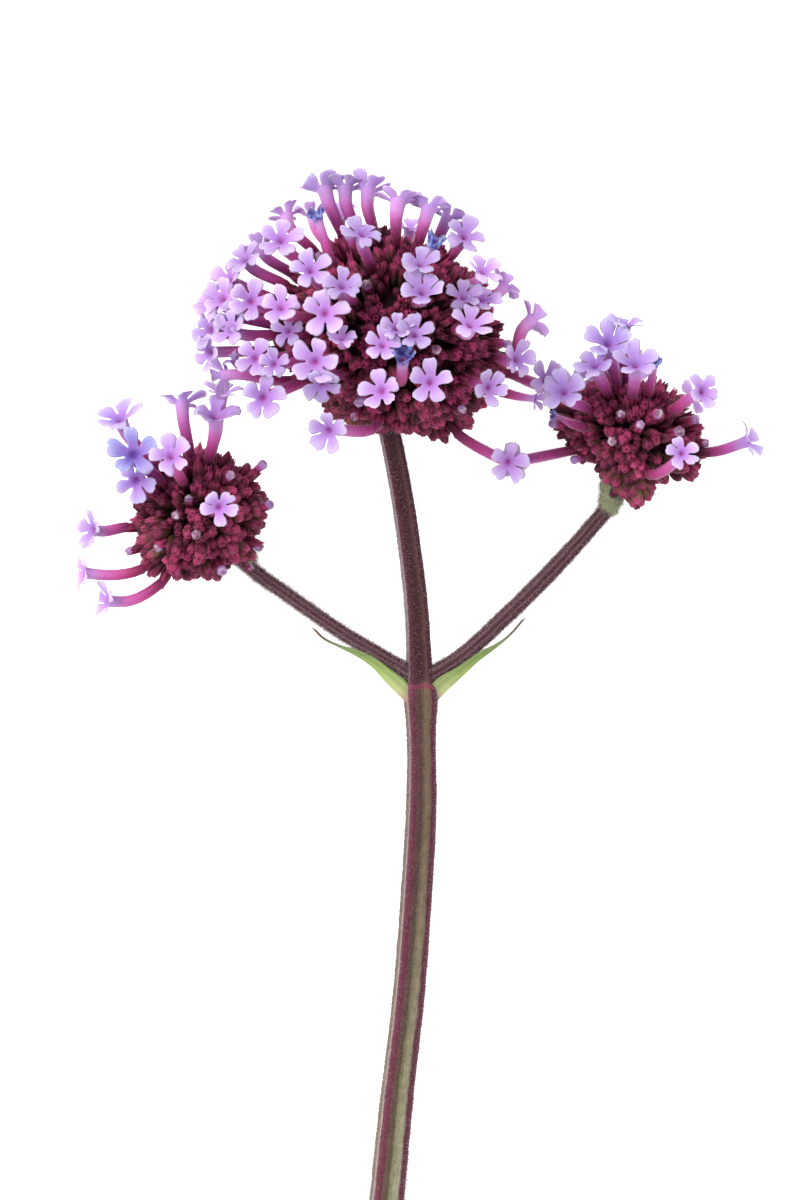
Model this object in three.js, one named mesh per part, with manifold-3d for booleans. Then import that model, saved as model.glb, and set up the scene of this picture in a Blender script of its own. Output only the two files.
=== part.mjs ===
// A cut sprig of tall purple verbena, lying down: one square stem that forks at a node into two side
// branches with a small bract under each, and three flower heads. A head is a core packed with calyxes,
// and its florets are curved tubes that open into five petals.
// Millimetres, +Z up. The stem runs along +Y, the sprig lies on z = 0 on the end of the stem and on the
// lowest petals of its three heads, and the origin is under the middle of the sprig.
import * as THREE from 'three';
import { ConvexHull } from 'three/addons/math/ConvexHull.js';
import Module from 'manifold-3d';

// Driving dimensions, in millimetres and degrees.
const gap = 0.3; // clearance between solids that touch on the real sprig
const bladeThickness = 0.6;

// Main stem from its cut end to its top inside the central head: x, y and width over the ridges.
const stemLine = [
  [-4.4, -69.5, 5.0], [-2.5, -50, 4.6], [-1.0, -37, 4.45], [0.0, -24, 4.4], [0.7, -11, 4.25],
  [0.65, -1, 4.2], [0.6, 2.2, 4.7], [0.5, 4.2, 4.4], [0.45, 5.6, 3.8], [0.35, 8, 3.55], [-0.05, 15, 3.3],
  [-0.75, 21, 3.15], [-1.75, 28, 3.1], [-2.95, 34.5, 3.0], [-4.2, 40.2, 2.9],
];
const cutSlant = 0.12; // how far the cut end leans along the stem for each millimetre across it
const stemTurn = -15; // turn of the square section, which shows one side face beside the front one
const forkY = 5.4; // where the side branches leave the stem
const bractFold = 0.85; // rise of a bract's edges over its keel, for each millimetre of half width

// Side branches from the stem to inside their heads: x, y and width. Bract keels: x, y and width.
const branchLines = {
  left: [[-0.2, 5.2, 2.4], [-2.3, 6.5, 2.2], [-9.4, 10.7, 2.0], [-16.4, 15.5, 2.0], [-20.9, 18.7, 2.0],
    [-24.4, 21.8, 2.0]],
  right: [[0.9, 4.7, 2.6], [4.8, 7.0, 2.4], [11.7, 13.0, 2.4], [18.7, 20.0, 2.4], [23.0, 24.8, 2.3],
    [25.1, 27.4, 2.3], [26.6, 32.5, 2.2]],
};
const bractLines = {
  left: [[-1.6, 2.0, 2.2], [-3.8, 3.7, 3.0], [-5.9, 6.0, 2.3], [-7.9, 7.5, 1.6], [-10.1, 8.7, 1.2],
    [-12.2, 9.9, 0.9], [-13.9, 11.8, 0.6]],
  right: [[2.8, 1.9, 2.2], [4.7, 3.3, 3.0], [6.1, 4.7, 2.6], [8.2, 6.8, 1.9], [10.3, 8.5, 1.4],
    [12.4, 10.4, 1.0], [14.6, 13.1, 0.6]],
};

// A calyx is a cup with an open mouth or a pointed tip; a bud is a ball on the mouth of its cup.
const calyx = { bellyRadius: 0.95, bellyShare: 0.9, mouthRadius: 0.95, roomShare: 0.6, spacing: 0.6 };
const ball = { neckRadius: 0.6, radius: 0.9, height: 2.2 };

// A floret of size 1: the radii of its tube and of its five lobes.
const floret = {
  tubeRadius: 0.5, neckRadius: 0.72, neckDepth: 1.25, throatDepth: 0.2,
  notchRadius: 1.1, notchRise: 0.15, tipRadius: 2.7, tipRise: 0.75, tipHalfAngle: 22,
};

// The heads. A head's calyxes stand round its middle, and its florets form a dome whose own middle leans a
// little to one side. A floret is x, y from the middle of the dome, turn of its petals, nod of its face
// towards +Z, size, and z where it stands off the dome; joinLone moves the lone ones from there.
const heads = [
  {
    name: 'central',
    middle: [-3.6, 47.8], lean: [-2.1, -0.2], axis: [0.35, 0.93, 0.05], dome: 20.8,
    reach: { side: 15.8, top: 14.8, stem: 10.0, neck: 0.4 }, coreShare: 0.7,
    calyxes: 140, stemCone: 30,
    florets: [
      [-6.2, 20.8, 15, 0, 1.05], [-3.5, 20.9, 40, 0, 1.0], [-0.5, 20.7, 0, 0, 1.05],
      [3.4, 19.1, 20, 0, 1.0], [7.3, 18.2, 10, 0, 0.95], [9.8, 17.0, 50, 0, 0.85, 3],
      [12.0, 14.6, 30, 0, 1.05, 6], [-11.1, 17.4, 0, 0, 0.9], [-11.8, 14.0, 5, 30, 1.05],
      [-14.6, 13.1, 40, 0, 0.9, 1], [-16.5, 11.6, 20, 10, 0.95], [-18.6, 9.0, 0, 10, 0.95],
      [-7.9, 10.0, -10, 10, 1.0], [-3.8, 7.9, 0, 10, 0.95], [-6.0, 4.4, 0, 10, 1.12],
      [-11.7, 5.2, 0, 15, 1.0], [-15.6, 6.1, 20, 25, 1.0], [-1.2, 14.7, 36, 0, 1.0],
      [-20.7, 6.1, 10, 0, 0.95], [-21.1, 2.5, 30, 0, 0.95], [-18.2, 2.5, 0, 15, 0.95],
      [-21.1, -0.4, 20, 0, 0.9], [-15.0, -1.3, 25, 30, 0.95], [-12.6, -2.1, 0, 10, 0.75],
      [-17.9, -1.3, 0, 0, 0.7, 5], [-19.2, -3.5, 10, 0, 0.9], [-10.8, 2.2, 0, 0, 0.8, 13.5],
      [-7.3, -1.8, 18, 10, 1.12], [-6.4, -4.8, 36, 10, 0.95], [-3.9, 1.2, 0, 0, 0.75, 17.5],
      [-14.0, -6.4, 5, 30, 1.08], [-5.6, -10.7, 5, 20, 1.0], [6.2, 10.8, 5, 0, 0.95],
      [6.5, 7.2, 36, 10, 1.08], [14.3, 9.9, 0, 0, 0.95], [17.2, 8.1, 30, 0, 0.85],
      [11.8, 6.6, 0, 0, 0.9, 13], [12.7, 3.0, 10, 0, 1.1], [14.1, 6.4, 36, 0, 0.85, 11],
      [20.8, 3.8, 0, 0, 0.95, 5], [1.4, 0.3, 10, 0, 0.88], [3.2, 2.5, 0, 0, 0.8, 18.3],
      [5.5, 1.7, 0, 10, 0.9], [1.2, -5.6, -10, 10, 1.0], [7.5, -4.5, 5, 10, 1.05],
      [18.7, -1.4, 15, 15, 0.95], [15.1, -5.1, -30, 10, 0.88], [22.6, -4.0, 36, 0, 0.9, -2],
      [21.1, -6.4, 0, 0, 0.8], [17.7, -14.6, 10, 30, 0.95, 3],
    ],
    buds: [[-4.0, 17.7, 8], [-9.0, 14.7, 9], [16.5, 0.7, 6], [-2.2, -8.7, 15]],
  },
  {
    name: 'left',
    middle: [-28.1, 25.5], lean: [0, 0], axis: [-0.72, 0.69, 0.0], dome: 16.2,
    reach: { side: 9.6, top: 9.2, stem: 7.8, neck: 1.2 }, coreShare: 0.6,
    calyxes: 68, stemCone: 24,
    florets: [
      [-10.4, 13.1, 0, 0, 1.0, 6], [-8.5, 8.5, -5, 25, 1.18], [-8.2, 5.1, 30, 0, 1.05, 8],
      [-3.6, 8.2, -15, 0, 1.0], [-2.3, 15.2, 0, 0, 0.95, 7], [2.1, 13.5, 0, 0, 1.15],
      [2.9, 16.5, 30, 0, 0.95, 6.5], [2.6, 1.6, 36, 10, 0.9, 13.5], [-14.0, -1.3, 0, 0, 0.82, 2],
      [-15.1, -6.9, 36, 0, 0.8, 1], [-12.1, -10.5, 0, 0, 0.8, 1.6],
    ],
    buds: [[9.5, 8.4, 1], [8.8, 2.0, 3], [2.9, -6.9, 5]],
  },
  {
    name: 'right',
    middle: [27.6, 36.1], lean: [0, 0], axis: [0.32, 0.95, 0.0], dome: 16.2,
    reach: { side: 10.2, top: 8.2, stem: 6.0, neck: 3.2 }, coreShare: 0.6,
    calyxes: 68, stemCone: 18,
    florets: [
      [-2.7, 12.3, 0, 25, 1.14], [-0.5, 14.7, 20, 0, 0.95, 8.5], [-4.4, 9.4, 30, 0, 0.95, 11],
      [0.8, 9.5, -10, 0, 1.08], [-8.5, 6.0, -5, 10, 1.14], [9.5, 6.0, 30, 0, 0.9],
      [15.6, -0.3, 0, 0, 0.8, 1], [6.8, -2.0, -10, 10, 0.72, 13], [-14.4, -2.9, 20, 0, 0.9, -2.6],
    ],
    buds: [[1.5, 1.6, 10], [9.3, 2.7, 5], [-8.8, 1.7, 4], [-10.5, -4.2, 1]],
  },
];
const rimShare = 0.15; // the lowest florets stand this share of the dome over its level plane
const neckSpread = 0.45; // how far the neck of calyxes spreads from the stem, as the sine of an angle
const farSide = { from: 10, drawnIn: 0.93, turn: 12 }; // florets higher than `from` are repeated below

// How a lone floret comes to touch another: the shared volumes that count, in cubic millimetres, the steps
// in depth and the turns to try, and how many millimetres of depth a degree of turn counts as.
const touch = { least: 0.05, most: 3, step: 0.5, steps: 8, turns: [0, 15, -15, 30], turnCost: 0.05, passes: 3 };

const wasm = await Module();
wasm.setup();
const { Manifold, Mesh: SolidMesh } = wasm;

const up = new THREE.Vector3(0, 0, 1);
const radians = THREE.MathUtils.degToRad;
const vector = (x, y, z = 0) => new THREE.Vector3(x, y, z);
// A repeatable draw between 0 and 1 for the nth repeat: multiples of the golden ratio, spread evenly.
const draw = (n, stream) => (0.31 * stream + (n + 1) * 0.618034) % 1;

// Points to a closed solid; the triangles are turned round if they enclose a negative volume.
function solidFrom(points, triangles) {
  const volume = triangles.reduce((sum, [a, b, c]) =>
    sum + points[a].dot(points[b].clone().cross(points[c])), 0);
  const facing = volume < 0 ? triangles.map(([a, b, c]) => [a, c, b]) : triangles;
  return new Manifold(new SolidMesh({
    numProp: 3,
    vertProperties: new Float32Array(points.flatMap((point) => point.toArray())),
    triVerts: new Uint32Array(facing.flat()),
  }));
}

// A ring of points in the plane across `along`; `shape` gives each point's distance and angle.
function ring(middle, along, shape, reference = up) {
  const right = along.clone().cross(reference).normalize();
  const top = right.clone().cross(along).normalize();
  return shape.map(([distance, angle]) => middle.clone()
    .addScaledVector(right, distance * Math.cos(angle))
    .addScaledVector(top, distance * Math.sin(angle)));
}

// Rings with equal counts joined one to the next. A last ring of one point is an apex, a ring of up to
// four corners is closed flat, and a larger one round its middle point, because it may be hollow-sided.
function loft(rings) {
  const count = rings[0].length;
  const points = rings.flat();
  const triangles = [];
  for (let row = 0; row + 1 < rings.length; row += 1) {
    for (let i = 0; i < count; i += 1) {
      const [a, b] = [row * count + i, row * count + (i + 1) % count];
      if (rings[row + 1].length === 1) triangles.push([a, b, (row + 1) * count]);
      else triangles.push([a, b, b + count], [a, b + count, a + count]);
    }
  }
  const close = (row, reversed) => {
    const corners = rings[row].map((_, i) => row * count + i);
    if (count > 4) {
      corners.forEach((corner, i) => triangles.push([points.length, corner, corners[(i + 1) % count]]));
      points.push(rings[row].reduce((sum, point) => sum.add(point), vector(0, 0)).divideScalar(count));
    } else {
      for (let i = 1; i + 1 < count; i += 1) triangles.push([corners[0], corners[i], corners[i + 1]]);
    }
    if (reversed) triangles.slice(count > 4 ? -count : 2 - count).forEach((face) => face.reverse());
  };
  close(0, true);
  if (rings.at(-1).length > 1) close(rings.length - 1, false);
  return solidFrom(points, triangles);
}

const evenRing = (count, radius, turn = 0) =>
  Array.from({ length: count }, (_, i) => [radius, turn + (i / count) * 2 * Math.PI]);

// The square section: four blunt ridges of two points each, and the bottom of a groove between them.
function squareSection(width, turn) {
  return [0, 1, 2, 3].flatMap((side) => {
    const ridge = radians(45 + turn + side * 90);
    return [
      [width * 0.51, ridge - radians(13)], [width * 0.51, ridge + radians(13)],
      [width * 0.38, ridge + radians(45)],
    ];
  });
}

// Directions along a line of points, each from its neighbours.
function directions(points) {
  return points.map((_, i) => points[Math.min(i + 1, points.length - 1)].clone()
    .sub(points[Math.max(i - 1, 0)]).normalize());
}

// ---- Florets ----

// Where a floret's calyx ends: an ellipsoid about the head's middle, shorter towards the stem, with a
// neck of calyxes close round the stem.
function reachAlong(head, direction) {
  const along = direction.dot(head.axisLine);
  const across = Math.sqrt(Math.max(0, 1 - along * along));
  const length = along > 0 ? head.reach.top : head.reach.stem;
  const neck = along < 0 ? head.reach.neck * Math.exp(-((across / neckSpread) ** 2)) : 0;
  return 1 / Math.hypot(along / length, across / head.reach.side) + neck;
}

// What a floret's shape needs: it looks away from the head's middle, nods towards +Z and ends on its calyx.
function seatFloret(head, { throat, turn, nod, size }) {
  const out = throat.clone().normalize();
  const facing = out.clone().applyAxisAngle(out.clone().cross(up).normalize(), radians(nod));
  const petalUp = Math.abs(facing.y) > 0.95 ? up : vector(0, 1, 0);
  const seat = out.clone().multiplyScalar(reachAlong(head, out) + gap);
  return { throat, out, facing, seat, petalUp, turn, size };
}

// The near florets as listed, joined to their neighbours, and the far ones: those that stand high enough,
// seen in the level plane through the head's middle as in a mirror, and drawn in a little so that the near
// ones cover them.
function placeFlorets(head) {
  const near = joinLone(head, head.florets.map(([x, y, turn, nod, size, z]) => {
    const height = z ?? Math.sqrt(Math.max((rimShare * head.dome) ** 2, head.dome ** 2 - x * x - y * y));
    return { throat: vector(x + head.lean[0], y + head.lean[1], height), turn, nod, size };
  }));
  const far = near.filter(({ throat }) => throat.z > farSide.from).map(({ throat, turn, nod, size }) => {
    const drawnIn = vector(throat.x * farSide.drawnIn, throat.y * farSide.drawnIn, -throat.z);
    return { throat: drawnIn.setLength(throat.length()), turn: turn + farSide.turn, nod: -nod, size };
  });
  return [...near, ...far].map((place) => seatFloret(head, place));
}

// A tube from its calyx to its throat, then five lobes: the underside and the top of the limb
// share one outline of a notch and two tip corners for each lobe, and the top dips to the throat.
function floretSolid({ throat, facing, out, seat, petalUp, turn, size }, middle) {
  const neckPoint = throat.clone().addScaledVector(facing, -floret.neckDepth * size);
  const start = radians(turn + 90);
  const lobe = (2 * Math.PI) / 5;
  const fifth = (radius) => evenRing(5, radius, start - lobe / 2);
  const outline = [0, 1, 2, 3, 4].flatMap((i) => [
    [floret.notchRadius * size, start + (i - 0.5) * lobe],
    [floret.tipRadius * size, start + i * lobe - radians(floret.tipHalfAngle)],
    [floret.tipRadius * size, start + i * lobe + radians(floret.tipHalfAngle)],
  ]);
  const limb = (depth) => ring(throat, facing, outline, petalUp).map((point, i) => point
    .addScaledVector(facing, (i % 3 ? floret.tipRise : floret.notchRise) * size - depth));
  const points = [
    ...ring(seat, out, fifth(floret.tubeRadius), petalUp),
    ...ring(neckPoint, facing, fifth(floret.neckRadius * size), petalUp),
    ...limb(bladeThickness),
    ...limb(0),
    throat.clone().addScaledVector(facing, -floret.throatDepth * size),
  ].map((point) => point.add(middle));
  const [neck, below, above, dip] = [5, 10, 25, 40];
  const triangles = [[0, 2, 1], [0, 3, 2], [0, 4, 3]];
  for (let i = 0; i < 5; i += 1) {
    const next = (i + 1) % 5;
    triangles.push([i, next, next + 5], [i, next + 5, i + 5]);
    const [notch, first, second, nextNotch] = [3 * i, 3 * i + 1, 3 * i + 2, 3 * next];
    triangles.push([neck + i, below + first, below + notch], [neck + i, neck + next, below + first],
      [neck + next, below + second, below + first], [neck + next, below + nextNotch, below + second]);
    [[notch, first], [first, second], [second, nextNotch]].forEach(([a, b]) => triangles.push(
      [below + a, below + b, above + b], [below + a, above + b, above + a], [above + a, above + b, dip]));
  }
  return solidFrom(points, triangles);
}

// The group of each solid: solids that share more than `least` cubic millimetres are in one group.
function groupTouching(solids, least) {
  const groups = solids.map((_, i) => i);
  for (let i = 0; i < solids.length; i += 1) {
    for (let j = 0; j < i; j += 1) {
      if (groups[i] !== groups[j] && solids[i].intersect(solids[j]).volume() > least) {
        const [kept, gone] = [groups[j], groups[i]];
        groups.forEach((group, k) => { if (group === gone) groups[k] = kept; });
      }
    }
  }
  return groups;
}

// Neighbours' petals touch on a crowded head. A floret that stands alone, and in the later passes one of a
// small group, moves in depth and turns by the least that brings it into a floret of another group.
function joinLone(head, florets) {
  const depths = Array.from({ length: 2 * touch.steps + 1 }, (_, i) => (i - touch.steps) * touch.step);
  const moves = depths.flatMap((rise) => touch.turns.map((turn) =>
    ({ rise, turn, cost: Math.abs(rise) + Math.abs(turn) * touch.turnCost })));
  moves.sort((a, b) => a.cost - b.cost);
  const solidOf = (place) => floretSolid(seatFloret(head, place), vector(0, 0));
  const places = [...florets];
  const solids = places.map(solidOf);
  for (let most = 1; most <= touch.passes; most += 1) {
    places.forEach((place, i) => {
      const groups = groupTouching(solids, touch.least);
      if (groups.filter((group) => group === groups[i]).length > most) return;
      const others = solids.filter((_, j) => groups[j] !== groups[i]);
      moves.some(({ rise, turn }) => {
        const throat = place.throat.clone().addScaledVector(up, rise);
        const moved = { ...place, throat, turn: place.turn + turn };
        const solid = solidOf(moved);
        const shared = Math.max(...others.map((other) => solid.intersect(other).volume()));
        if (shared < touch.least || shared > touch.most) return false;
        [places[i], solids[i]] = [moved, solid];
        return true;
      });
    });
  }
  return places;
}

// Florets whose petals overlap are one solid: each group is joined, and the groups stay apart.
function fuseTouching(solids) {
  const groups = groupTouching(solids, 0);
  return [...new Set(groups)].map((group) =>
    Manifold.union(solids.filter((_, i) => groups[i] === group)));
}

// ---- Calyxes ----

// Where the calyxes of a head point: an open one under each floret, one under each bud, closed ones at the
// turns of a spiral over the rest of the head, and plain points round the stem, where none grows.
function calyxPlaces(head) {
  const places = [
    ...head.placed.map(({ out }) => ({ out, kind: 'open', share: 1 })),
    ...head.buds.map((bud) => ({ out: vector(...bud).normalize(), kind: 'bud', share: 1 })),
  ];
  const apart = Math.sqrt((4 * Math.PI) / head.calyxes) * calyx.spacing;
  for (let n = 0; n < head.calyxes; n += 1) {
    const along = 1 - (2 * (n + 0.5)) / head.calyxes;
    const [out] = ring(head.axisLine.clone().multiplyScalar(along), head.axisLine,
      [[Math.sqrt(1 - along * along), n * Math.PI * (3 - Math.sqrt(5))]]);
    if (places.every((place) => place.out.angleTo(out) > apart)) {
      const bare = out.angleTo(head.axisLine) > radians(180 - head.stemCone);
      places.push({ out, kind: bare ? 'bare' : 'closed', share: 0.95 + 0.08 * draw(n, 3) });
    }
  }
  return places;
}

// The core and its calyxes as one surface. The directions are joined into triangles, and the middle of each
// triangle is a low point of the core. Each calyx stands inside the ring of low points round it.
function headSolid(head, stem) {
  const places = calyxPlaces(head);
  const outs = places.map(({ out }) => out);
  const faces = new ConvexHull().setFromPoints(outs).faces.map(({ edge }) =>
    [edge, edge.next, edge.prev].map((side) => outs.indexOf(side.head().point)));
  const at = (direction, length) => direction.clone().multiplyScalar(length).add(head.centre);
  const lows = faces.map((face) => face.reduce((sum, i) => sum.add(outs[i]), vector(0, 0)).normalize());
  const points = lows.map((low) => at(low, reachAlong(head, low) * head.coreShare));
  const triangles = [];
  places.forEach(({ out, kind, share }, i) => {
    const side = out.clone().cross(Math.abs(out.y) > 0.95 ? up : vector(0, 1, 0)).normalize();
    const other = out.clone().cross(side);
    const around = faces.flatMap((face, f) => (face.includes(i) ? [f] : []))
      .map((f) => ({ f, angle: Math.atan2(lows[f].dot(other), lows[f].dot(side)) }))
      .sort((a, b) => a.angle - b.angle).map(({ f }) => f);
    const tip = reachAlong(head, out) * share;
    let last = around;
    const addRing = (length, radius) => {
      const next = around.map((f) => {
        const outward = lows[f].clone().multiplyScalar(length / lows[f].dot(out))
          .addScaledVector(out, -length);
        const room = outward.length() * calyx.roomShare;
        points.push(at(out, length).addScaledVector(outward.normalize(), Math.min(radius, room)));
        return points.length - 1;
      });
      next.forEach((corner, k) => {
        const after = (k + 1) % next.length;
        triangles.push([last[k], last[after], next[after]], [last[k], next[after], corner]);
      });
      last = next;
    };
    const addTip = (length) => {
      points.push(at(out, length));
      last.forEach((corner, k) => triangles.push([corner, last[(k + 1) % last.length], points.length - 1]));
    };
    if (kind === 'bare') addTip(tip * head.coreShare);
    if (kind === 'closed') {
      addRing(tip * calyx.bellyShare, calyx.bellyRadius);
      addTip(tip);
    }
    if (kind === 'open') {
      addRing(tip, calyx.mouthRadius);
      for (let k = 1; k + 1 < last.length; k += 1) triangles.push([last[0], last[k], last[k + 1]]);
    }
    if (kind === 'bud') {
      addRing(tip, ball.neckRadius);
      addRing(tip + ball.height / 2, ball.radius);
      addTip(tip + ball.height);
    }
  });
  return solidFrom(points, triangles).subtract(stem);
}

// ---- Stems and bracts ----

// A stem along its line; `grow` widens it, for the clearance round it.
function stemSolid(line, section, grow = 0, slant = 0) {
  const points = line.map(([x, y, , z]) => vector(x, y, z));
  const along = directions(points);
  const rings = points.map((point, i) => ring(point, along[i], section(line[i][2] + 2 * grow)));
  rings[0].forEach((point) => point.addScaledVector(along[0], slant * (point.x - points[0].x)));
  return loft(rings);
}

// A narrow keeled blade along the underside of its branch: a V that opens towards the branch.
function bractSolid(line, sideways) {
  const points = line.map(([x, y, , z]) => vector(x, y, z));
  const along = directions(points);
  return loft(points.map((point, i) => {
    const half = line[i][2] / 2;
    const inward = vector(-along[i].y, along[i].x).multiplyScalar(sideways).normalize();
    const rise = half * bractFold;
    return [[0, 0], [half, rise], [half, rise + bladeThickness], [0, bladeThickness * 1.3],
      [-half, rise + bladeThickness], [-half, rise]].map(([z, inner]) =>
      point.clone().addScaledVector(up, z).addScaledVector(inward, inner));
  }));
}

// ---- The sprig ----

const lowest = (solid) => solid.boundingBox().min[2];
heads.forEach((head) => {
  head.axisLine = vector(...head.axis).normalize();
  head.placed = placeFlorets(head);
  const loose = head.placed.map((placed) => floretSolid(placed, vector(0, 0)));
  head.height = -Math.min(...loose.map(lowest));
  head.centre = vector(...head.middle, head.height);
});

// The stem lies on its cut end and rises evenly into the central head.
const [cutX, cutY, cutWidth] = stemLine[0];
const topY = stemLine.at(-1)[1];
const flatCut = stemSolid([[cutX, cutY, cutWidth, 0], [cutX, cutY + 1, cutWidth, 0]],
  (width) => squareSection(width, stemTurn));
const cutHeight = -lowest(flatCut);
const stemHeight = (y) => THREE.MathUtils.mapLinear(y, cutY, topY, cutHeight, heads[0].height);
const mainLine = stemLine.map(([x, y, width]) => [x, y, width, stemHeight(y)]);
const branchSection = (width) => [0, 1, 2, 3].flatMap((side) => [
  [width * 0.5, radians(45 + side * 90)], [width * 0.43, radians(90 + side * 90)]]);
const mainSection = (width) => squareSection(width, stemTurn);
const mainStem = stemSolid(mainLine, mainSection, 0, cutSlant);
const stemRoom = stemSolid(mainLine, mainSection, gap);

const material = (color, roughness) => new THREE.MeshStandardMaterial({ color, roughness, metalness: 0 });
const paint = {
  stem: material('#5a2a3a', 0.7), branch: material('#6b3346', 0.7), bract: material('#8fae4a', 0.6),
  calyx: material('#5a1532', 0.75), floret: material('#c9a6ee', 0.6),
};

const sprig = new THREE.Group();
function add(name, solid, finish) {
  const { vertProperties, triVerts } = solid.simplify(0.004).getMesh();
  const geometry = new THREE.BufferGeometry();
  geometry.setAttribute('position', new THREE.BufferAttribute(vertProperties, 3));
  geometry.setIndex(new THREE.BufferAttribute(triVerts, 1));
  geometry.computeVertexNormals();
  const mesh = new THREE.Mesh(geometry, finish.clone());
  mesh.name = name;
  sprig.add(mesh);
}

add('main_stem', mainStem, paint.stem);
const branchRooms = {};
['left', 'right'].forEach((side, i) => {
  const head = heads[i + 1];
  const far = branchLines[side].at(-1);
  const height = (x) => THREE.MathUtils.mapLinear(x, branchLines[side][0][0], far[0],
    stemHeight(forkY), head.height);
  const line = branchLines[side].map(([x, y, width]) => [x, y, width, height(x)]);
  branchRooms[side] = stemSolid(line, branchSection, gap);
  add(`${side}_branch`, stemSolid(line, branchSection).subtract(stemRoom), paint.branch);
  const keel = bractLines[side].map(([x, y, width]) => [x, y, width, height(x)]);
  const bract = bractSolid(keel, i === 0 ? -1 : 1);
  add(`${side}_bract`, bract.subtract(stemRoom).subtract(branchRooms[side]), paint.bract);
});

heads.forEach((head) => {
  const room = head.name === 'central' ? stemRoom : branchRooms[head.name];
  add(`${head.name}_calyxes`, headSolid(head, room), paint.calyx);
});
heads.forEach((head) => {
  const solids = head.placed.map((placed) => floretSolid(placed, head.centre));
  fuseTouching(solids).forEach((solid, n) => {
    add(`${head.name}_florets_${String(n + 1).padStart(2, '0')}`, solid, paint.floret);
  });
});

export default sprig;
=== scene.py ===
import bpy
import numpy as np
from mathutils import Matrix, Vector


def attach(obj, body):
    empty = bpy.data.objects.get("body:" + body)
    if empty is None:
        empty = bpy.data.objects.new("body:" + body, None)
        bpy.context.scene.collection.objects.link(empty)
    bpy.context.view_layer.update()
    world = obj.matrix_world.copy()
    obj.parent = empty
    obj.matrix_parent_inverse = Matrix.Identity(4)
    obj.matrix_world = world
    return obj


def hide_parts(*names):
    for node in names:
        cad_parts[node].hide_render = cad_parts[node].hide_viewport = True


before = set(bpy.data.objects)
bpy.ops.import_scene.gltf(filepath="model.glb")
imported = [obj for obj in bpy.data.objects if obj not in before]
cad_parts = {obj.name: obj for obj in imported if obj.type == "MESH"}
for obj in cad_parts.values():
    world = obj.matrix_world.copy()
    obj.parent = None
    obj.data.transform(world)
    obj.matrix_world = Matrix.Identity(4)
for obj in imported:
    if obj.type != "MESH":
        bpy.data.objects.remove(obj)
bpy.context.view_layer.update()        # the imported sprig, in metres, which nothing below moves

mm = 0.001               # every length below is in millimetres and becomes metres in meshPiece
up = np.array([0.0, 0.0, 1.0])
ahead = np.array([0.0, 1.0, 0.0])
golden = np.pi * (3 - np.sqrt(5))
wholeTurn = 2 * np.pi
anyTurn = (0, 6.28)      # a turn drawn at random lies between these
overFloor = {"hair": 0.01, "calyx": 0.02, "petal": 0.03}   # the lowest that each may lie
white = (1.0, 1.0, 1.0, 1.0)
print("frame:", len(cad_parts), "solids")

# camera, floor and light

view = {
    "middle": (-2.1, 15.1),   # what the middle of the picture looks at
    "level": 20,              # height of the plane that the framing is set for
    "tall": 156,              # height of that plane in the picture
    "away": 2000,
    "sensor": 36,
}
light = {
    "sky": 1.0, "aim": (0, 20, 15), "floorHalf": 3000,
    "floorGlow": 0.55,        # the floor shines a little, as a light table does
    "lamps": {                # place, side, power and colour
        "key": ((-520, 330, 620), 420, 6.4, (1.0, 0.985, 0.97)),
        "fill": ((560, 60, 420), 600, 1.0, (0.93, 0.96, 1.0)),
    },
    "gain": 1.34,             # how bright a white surface comes out, so paint() is darker by as much
}


def paint(code, share=1.0):
    # "#rrggbb", as seen in full light, to a linear colour
    values = np.array([int(code[i:i + 2], 16) for i in (1, 3, 5)]) / 255
    linear = np.where(values > 0.04045, ((values + 0.055) / 1.055) ** 2.4, values / 12.92)
    return (*(linear * share / light["gain"]), 1.0)


def makeCamera():
    # straight above, and so far away that depth hardly changes sizes
    data = bpy.data.cameras.new("camera")
    data.sensor_width = view["sensor"]
    data.lens = view["sensor"] * view["away"] / view["tall"]   # sensor over lens = tall over away
    data.clip_start = 0.1
    data.clip_end = 10
    camera = bpy.data.objects.new("camera", data)
    camera.location = (view["middle"][0] * mm, view["middle"][1] * mm, (view["level"] + view["away"]) * mm)
    bpy.context.scene.collection.objects.link(camera)
    bpy.context.scene.camera = camera


def setInputs(shader, values):
    # constants, each on the shader's own socket
    for name, value in values.items():
        shader.inputs[name].default_value = value


def makeLight(name, place, side, power, colour):
    # a square lamp that faces the heads
    data = bpy.data.lights.new(name, "AREA")
    data.size = side * mm
    data.energy = power
    data.color = colour
    lamp = bpy.data.objects.new(name, data)
    lamp.location = np.array(place) * mm
    aim = Vector(light["aim"]) - Vector(place)
    lamp.rotation_euler = aim.to_track_quat("-Z", "Y").to_euler()
    lamp.visible_camera = False
    bpy.context.scene.collection.objects.link(lamp)


def makeStage():
    # a white sky, two soft lamps and a pale floor
    world = bpy.data.worlds.new("studio")
    world.use_nodes = True
    setInputs(world.node_tree.nodes["Background"], {"Color": white, "Strength": light["sky"]})
    bpy.context.scene.world = world
    bpy.context.scene.view_settings.view_transform = "Standard"
    for name, facts in light["lamps"].items():
        makeLight(name, *facts)
    half = light["floorHalf"] * mm
    mesh = bpy.data.meshes.new("floor")
    corners = [(-half, -half, 0), (half, -half, 0), (half, half, 0), (-half, half, 0)]
    mesh.from_pydata(corners, [], [(0, 1, 2, 3)])
    floor = bpy.data.objects.new("floor", mesh)
    material = bpy.data.materials.new("paleFloor")
    material.use_nodes = True
    setInputs(material.node_tree.nodes["Principled BSDF"], {
        "Base Color": (0.9, 0.9, 0.9, 1), "Roughness": 0.9, "Specular IOR Level": 0.1,
        "Emission Color": white, "Emission Strength": light["floorGlow"]})
    mesh.materials.append(material)
    bpy.context.scene.collection.objects.link(floor)


makeCamera()
makeStage()
print("camera, floor and lights")

# surfaces as arrays


def unit(vectors):
    # vectors over their lengths
    return vectors / np.maximum(np.linalg.norm(vectors, axis=-1, keepdims=True), 1e-12)


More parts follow.
